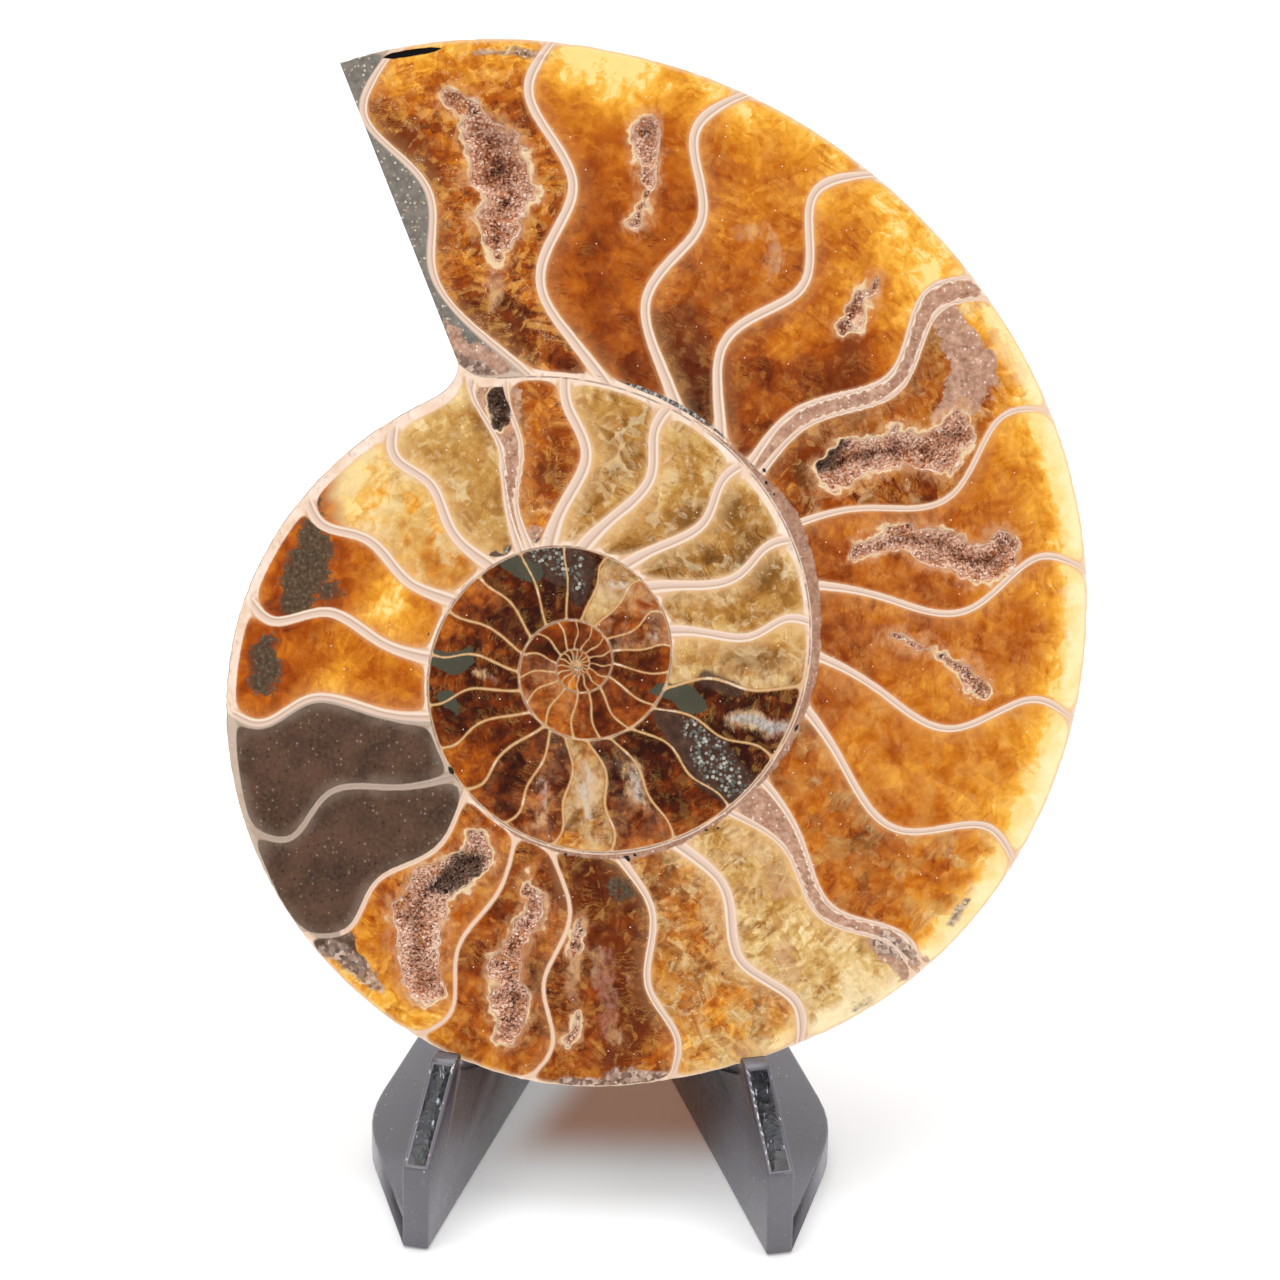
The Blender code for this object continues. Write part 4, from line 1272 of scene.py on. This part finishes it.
def shell_outside():
    """The natural outside of the shell: brown and cream with growth lines that follow the ribs."""
    p = Paint("shell_outside")
    place = p.attribute("place")
    turns, across, _ = p.attribute("outside").split()
    bent = turns * RIBS_PER_TURN + formula("SINE", across * (math.pi * RIB_CURVE)) * RIB_SWEEP
    lines = clouds(joined(bent, across * 0.8), 0.16, 3.0, 0.5)
    ribs = formula("SINE", bent * (math.pi * 2.0)) * 0.5 + 0.5
    fine = clouds(place, 1.4, 5.0, 0.65)
    shade = clouds(place, 17.0, 5.0, 0.55) * 0.7 + lines * 0.14 + ribs * 0.10 + fine * 0.06
    nacre = step(clouds(place, 9.0, 4.0, 0.55), 0.54, 0.64)
    rust = step(clouds(place, 12.0, 3.0, 0.6), 0.56, 0.68)
    base = painted(
        gradient(shade, (0.36, "5b3a22"), (0.44, "855a36"), (0.50, "a87b4e"), (0.56, "c49c6e"),
                 (0.64, "dcc09a")),
        (nacre * 0.6, gradient(fine, (0.35, "cbb194"), (0.6, "e4d2b8"))),
        (rust * 0.55, "98531f"),
        (step(lines, 0.36, 0.28) * 0.4, "4a2f1e"),
        (step(fine, 0.64, 0.76) * 0.4, "3f2c1f"),
    )
    p.bump(lines * 0.6 + fine * 0.4, 0.7, 0.0003)
    return p.finish(base, step(fine, 0.3, 0.7, 0.32, 0.5), specular_ior_level=0.4, coat_weight=0.15,
                    coat_roughness=0.25)


def cut_mouth():
    """Sediment where the shell was cut across the mouth."""
    p = Paint("cut_mouth")
    place = p.attribute("place")
    grain = clouds(place, 0.6, 4.0, 0.65)
    dots, dot_pick = cells(place, 0.5)
    crust_here = step(clouds(place, 5.0), 0.5, 0.6) * 0.7
    base = mix(crust_here, sediment_colour(place, grain, dots, dot_pick), salt_and_pepper(dot_pick))
    p.bump(grain + clouds(place, 2.0, 4.0), 0.9, 0.0006)
    return p.finish(base, step(grain, 0.3, 0.7, 0.55, 0.8), specular_ior_level=0.3)


def black_plastic():
    """Glossy moulded plastic, black with a violet cast, scuffed and dusty, with a reflection of the floor
    painted lighter near the bottom and brown shade painted on its inner sides.
    """
    p = Paint("black_plastic_moulded")
    place = p.coordinates()
    x, _, z = place.split()
    height = z - float(cad_low[2])
    facing = node("NewGeometry", {}, "Normal", p.tree).split()[0]
    painted_inner_shade = step(facing * formula("SIGN", x), -0.3, -0.7)
    broad = clouds(place, 0.012)
    scuffs = clouds(stretched(place, 1.0, 0.15, 1.0), 0.0012, 4.0, 0.7)
    dust, pick = cells(place, 0.0012)
    base = painted(
        gradient(broad, (0.3, "4c494f"), (0.7, "5b585f")),
        # Painted reflection of the floor: lighter towards the bottom.
        (step(height, 0.026, 0.002) * 0.5, "7b787f"),
        # Painted shade on the inner sides, brown as if reflecting the ammonite, deeper higher up.
        (painted_inner_shade * step(height, 0.004, 0.030), "2f2523"),
        (step(dust, 0.13, 0.06) * step(pick[0], 0.72, 0.78) * 0.8, "c9c6cc"),
        (step(scuffs, 0.62, 0.74) * 0.3, "8b878f"),
    )
    p.bump(clouds(place, 0.004, 2.0) + scuffs * 0.1, 0.15, 0.0003)
    return p.finish(base, step(broad, 0.3, 0.7, 0.2, 0.3) + step(scuffs, 0.55, 0.8, 0.0, 0.2),
                    specular_ior_level=0.5)


def slope_plastic():
    """The sloping front edge: wet-looking and pitted, with pale scratches whose colour is partly painted
    highlight.
    """
    p = Paint("black_plastic_slope")
    place = p.coordinates()
    dents = clouds(place, 0.0016, 3.0, 0.6)
    scratches_and_glints = clouds(stretched(place, 1.0, 0.2, 0.2), 0.0005, 3.0, 0.7)
    base = gradient(dents, (0.35, "08090c"), (0.58, "121319"), (0.72, "2b2f39"))
    p.bump(dents + scratches_and_glints * 0.1, 0.6, 0.0004)
    # Pale scratches painted in, partly as highlights.
    return p.finish(mix(step(scratches_and_glints, 0.60, 0.70) * 0.7, base, "c4c9d2"), step(dents, 0.4, 0.6, 0.2, 0.4),
                    specular_ior_level=0.4)


def torn_plastic():
    """Pale stressed plastic of the burrs and chips."""
    p = Paint("black_plastic_torn")
    grain = clouds(p.coordinates(), 0.0004)
    p.bump(grain, 0.4, 0.0002)
    return p.finish(gradient(grain, (0.35, "8d8c93"), (0.6, "dcdce0")), step(grain, 0.3, 0.7, 0.4, 0.6),
                    specular_ior_level=0.5)


# ---- the stand, the floor, the light and the camera

SLOPE_REACH = 16.0 * MM
SLOPE_INSET = 0.28 * MM
SLOPE_DEPTH = 0.12 * MM
CHIP_LIFT = 0.05 * MM
CHIP_TURN = 0.4
CHIP_ANGLES = (0.3, 1.9, 3.4, 5.0)

# Chips along the sloping edges: share of the way up, outer side or not, length and width in millimetres.
LEFT_CHIPS = ((0.97, 0, 1.6, 0.35), (0.93, 0, 0.9, 0.3), (0.90, 1, 0.8, 0.2), (0.62, 0, 0.5, 0.18),
              (0.41, 1, 0.6, 0.16), (0.12, 0, 0.7, 0.2), (0.05, 1, 0.5, 0.2))
RIGHT_CHIPS = ((0.96, 0, 1.2, 0.3), (0.86, 0, 0.8, 0.25), (0.78, 0, 1.1, 0.28), (0.71, 0, 0.6, 0.22),
               (0.64, 0, 0.9, 0.3), (0.55, 0, 1.3, 0.3), (0.46, 0, 0.7, 0.26), (0.38, 0, 1.0, 0.3),
               (0.29, 0, 0.6, 0.2), (0.20, 0, 0.9, 0.26), (0.1, 0, 0.7, 0.22), (0.5, 1, 0.6, 0.16),
               (0.9, 1, 0.7, 0.2))


def chip(shape, place, along, length, width, lift):
    """A sliver of torn plastic lying along a direction."""
    along = along.normalized()
    aside = along.cross(lift).normalized()
    ends = [place - along * length / 2.0, place + along * length / 2.0]
    ring = [place + (aside * math.cos(a) + lift * math.sin(a)) * width / 2.0 for a in CHIP_ANGLES]
    tips = [shape.verts.new(end) for end in ends]
    loop = [shape.verts.new(point) for point in ring]
    for a, b in zip(loop, loop[1:] + loop[:1]):
        shape.faces.new((tips[0], b, a)).material_index = 2
        shape.faces.new((tips[1], a, b)).material_index = 2


def make_leg(name, materials, chips):
    """A leg as it left the mould: its sloping front edge a little sunk, with chips and burrs beside it."""
    shape = bmesh.new()
    shape.from_mesh(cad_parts[name].data)
    bmesh.ops.remove_doubles(shape, verts=shape.verts, dist=1e-6)
    bmesh.ops.dissolve_limit(shape, angle_limit=math.radians(1.0), verts=shape.verts, edges=shape.edges)
    slopes = [face for face in shape.faces if face.normal.y < -0.3 and face.normal.z > 0.5
              and face.calc_center_median().y < cad_low[1] + SLOPE_REACH]
    slope = max(slopes, key=lambda face: face.calc_area())
    normal = slope.normal.copy()
    corners = sorted((vert.co.copy() for vert in slope.verts), key=lambda point: point.z)
    sides = [[pick(pair, key=lambda point: abs(point.x)) for pair in (corners[:2], corners[-2:])]
             for pick in (min, max)]
    bmesh.ops.inset_individual(shape, faces=[slope], thickness=SLOPE_INSET, depth=-SLOPE_DEPTH)
    slope.material_index = 1
    for share, side, length, width in chips:
        low_point, high_point = sides[side]
        place = low_point.lerp(high_point, share) + normal * CHIP_LIFT
        turn = Matrix.Rotation(RANDOM.uniform(-CHIP_TURN, CHIP_TURN), 3, normal)
        chip(shape, place, turn @ (high_point - low_point), length * MM, width * MM, normal)
    bmesh.ops.recalc_face_normals(shape, faces=shape.faces)
    mesh = bpy.data.meshes.new(name + "_moulded")
    shape.to_mesh(mesh)
    shape.free()
    for material in materials:
        mesh.materials.append(material)
    smooth(mesh, 35.0)
    leg = add_object(name + "_moulded", mesh)
    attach(leg, "root")
    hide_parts(name)


FLOOR_SIZE = 3.0
FLOOR_GAP = 0.2 * MM
FLOOR_WHITE = 0.3
WARM_SHADOW = "d0a18a"
# The warm shadow painted on the floor between the legs: where they would meet, how fast they part, and
# where it fades out.
MEETING_Y = 0.040
PARTING = 0.36
FADE_ACROSS = 0.008
FADE_FRONT, FADE_BACK = -0.023, -0.008
SKY_BEHIND = 1.0
SKY_BEFORE = 0.2


def make_floor():
    """A pale floor that the camera sees as white wherever no shadow lies, with a warm shadow painted under
    the ammonite.
    """
    corners = [(x * FLOOR_SIZE, y * FLOOR_SIZE, 0.0) for x, y in ((-1, -1), (1, -1), (1, 1), (-1, 1))]
    mesh = bpy.data.meshes.new("floor")
    mesh.from_pydata(corners, [], [(0, 1, 2, 3)])
    floor = add_object("floor", mesh)
    floor.location.z = cad_low[2] - FLOOR_GAP
    p = Paint("pale_floor")
    x, y, _ = p.coordinates().split()
    painted_shadow_between_legs = step(abs(x) - (MEETING_Y - y) * PARTING, 0.0, -FADE_ACROSS)
    # A warm shadow painted under the ammonite, in the floor's colour and in its glow for the camera.
    tint = mix(painted_shadow_between_legs * step(y, FADE_FRONT, FADE_BACK), "ffffff", WARM_SHADOW)
    p.finish(tint, 0.7, specular_ior_level=0.1)
    glow = node("Emission", {"Color": tint, "Strength": 1.0})
    far = step(formula("SQRT", x * x + y * y), 0.25, 0.7, FLOOR_WHITE, 1.0)
    rays = [node("LightPath", {}, name, p.tree) for name in ("Is Camera Ray", "Is Glossy Ray")]
    seen = node("MixShader", {0: formula("MAXIMUM", *rays) * far, 1: Value(p.shader.outputs[0]), 2: glow})
    connect(p.tree.nodes["Material Output"].inputs["Surface"], seen)
    mesh.materials.append(p.material)


def make_world():
    """White to the camera; to the object, bright above and behind and dimmer in front."""
    world = bpy.data.worlds.new("studio")
    bpy.context.scene.world = world
    world.use_nodes = True
    tree = world.node_tree
    tree.nodes.clear()
    towards = node("TexCoord", {}, "Generated", tree).split()[1]
    lit = node("Background", {"Strength": step(towards, -0.8, 0.4, SKY_BEFORE, SKY_BEHIND)})
    plain = node("Background", {"Color": "ffffff", "Strength": 1.0}, tree=tree)
    camera_ray = node("LightPath", {}, "Is Camera Ray", tree)
    out = tree.nodes.new("ShaderNodeOutputWorld")
    connect(out.inputs["Surface"], node("MixShader", {0: camera_ray, 1: lit, 2: plain}))


def area_lamp(name, place, size, watts):
    """A square lamp at a place measured from the middle of the part, aimed at that middle."""
    light = bpy.data.lights.new(name, "AREA")
    light.shape = "RECTANGLE"
    light.size = light.size_y = size
    light.energy = watts
    lamp = add_object(name, light)
    lamp.location = (cad_low + cad_high) / 2.0 + Vector(place)
    lamp.rotation_euler = (-Vector(place)).to_track_quat("-Z", "Y").to_euler()


CAMERA_ROLL = math.radians(0.9)
CAMERA_DISTANCE = 0.85
LENS = 191.25
SENSOR = 36.0
AIM_RIGHT = 7.8 * MM
AIM_UP = 3.3 * MM


def make_camera(centre):
    """Square on to the leaning face, a little to the right of the spiral's centre and above it."""
    into = Vector((0.0, math.cos(LEAN), -math.sin(LEAN)))
    up = Vector((0.0, math.sin(LEAN), math.cos(LEAN)))
    side = Vector((1.0, 0.0, 0.0))
    data = bpy.data.cameras.new("camera")
    data.lens, data.sensor_width = LENS, SENSOR
    data.clip_start, data.clip_end = 0.05, 20.0
    camera = add_object("camera", data)
    right = side * math.cos(CAMERA_ROLL) + up * math.sin(CAMERA_ROLL)
    turn = Matrix((right, right.cross(into), -into)).transposed().to_4x4()
    place = centre + side * AIM_RIGHT + up * AIM_UP - into * CAMERA_DISTANCE
    camera.matrix_world = Matrix.Translation(place) @ turn
    bpy.context.scene.camera = camera


ammonite, lining = make_ammonite((polished_section(), shell_outside(), cut_mouth()))
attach(ammonite, "root")
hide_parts("ammonite_half")
druse = make_druse(lining, druse_crystals(), ammonite.matrix_world)
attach(druse, "root")
plastics = (black_plastic(), slope_plastic(), torn_plastic())
make_leg("stand_leg_left", plastics, LEFT_CHIPS)
make_leg("stand_leg_right", plastics, RIGHT_CHIPS)

make_floor()
make_world()
area_lamp("key", (-0.45, -0.55, 0.95), 0.7, 5.5)
area_lamp("top", (0.0, 0.35, 1.3), 1.2, 17.0)
area_lamp("fill", (0.75, -0.45, 0.45), 0.6, 2.5)
make_camera(ammonite.matrix_world.to_translation())
bpy.context.scene.view_settings.view_transform = "Standard"
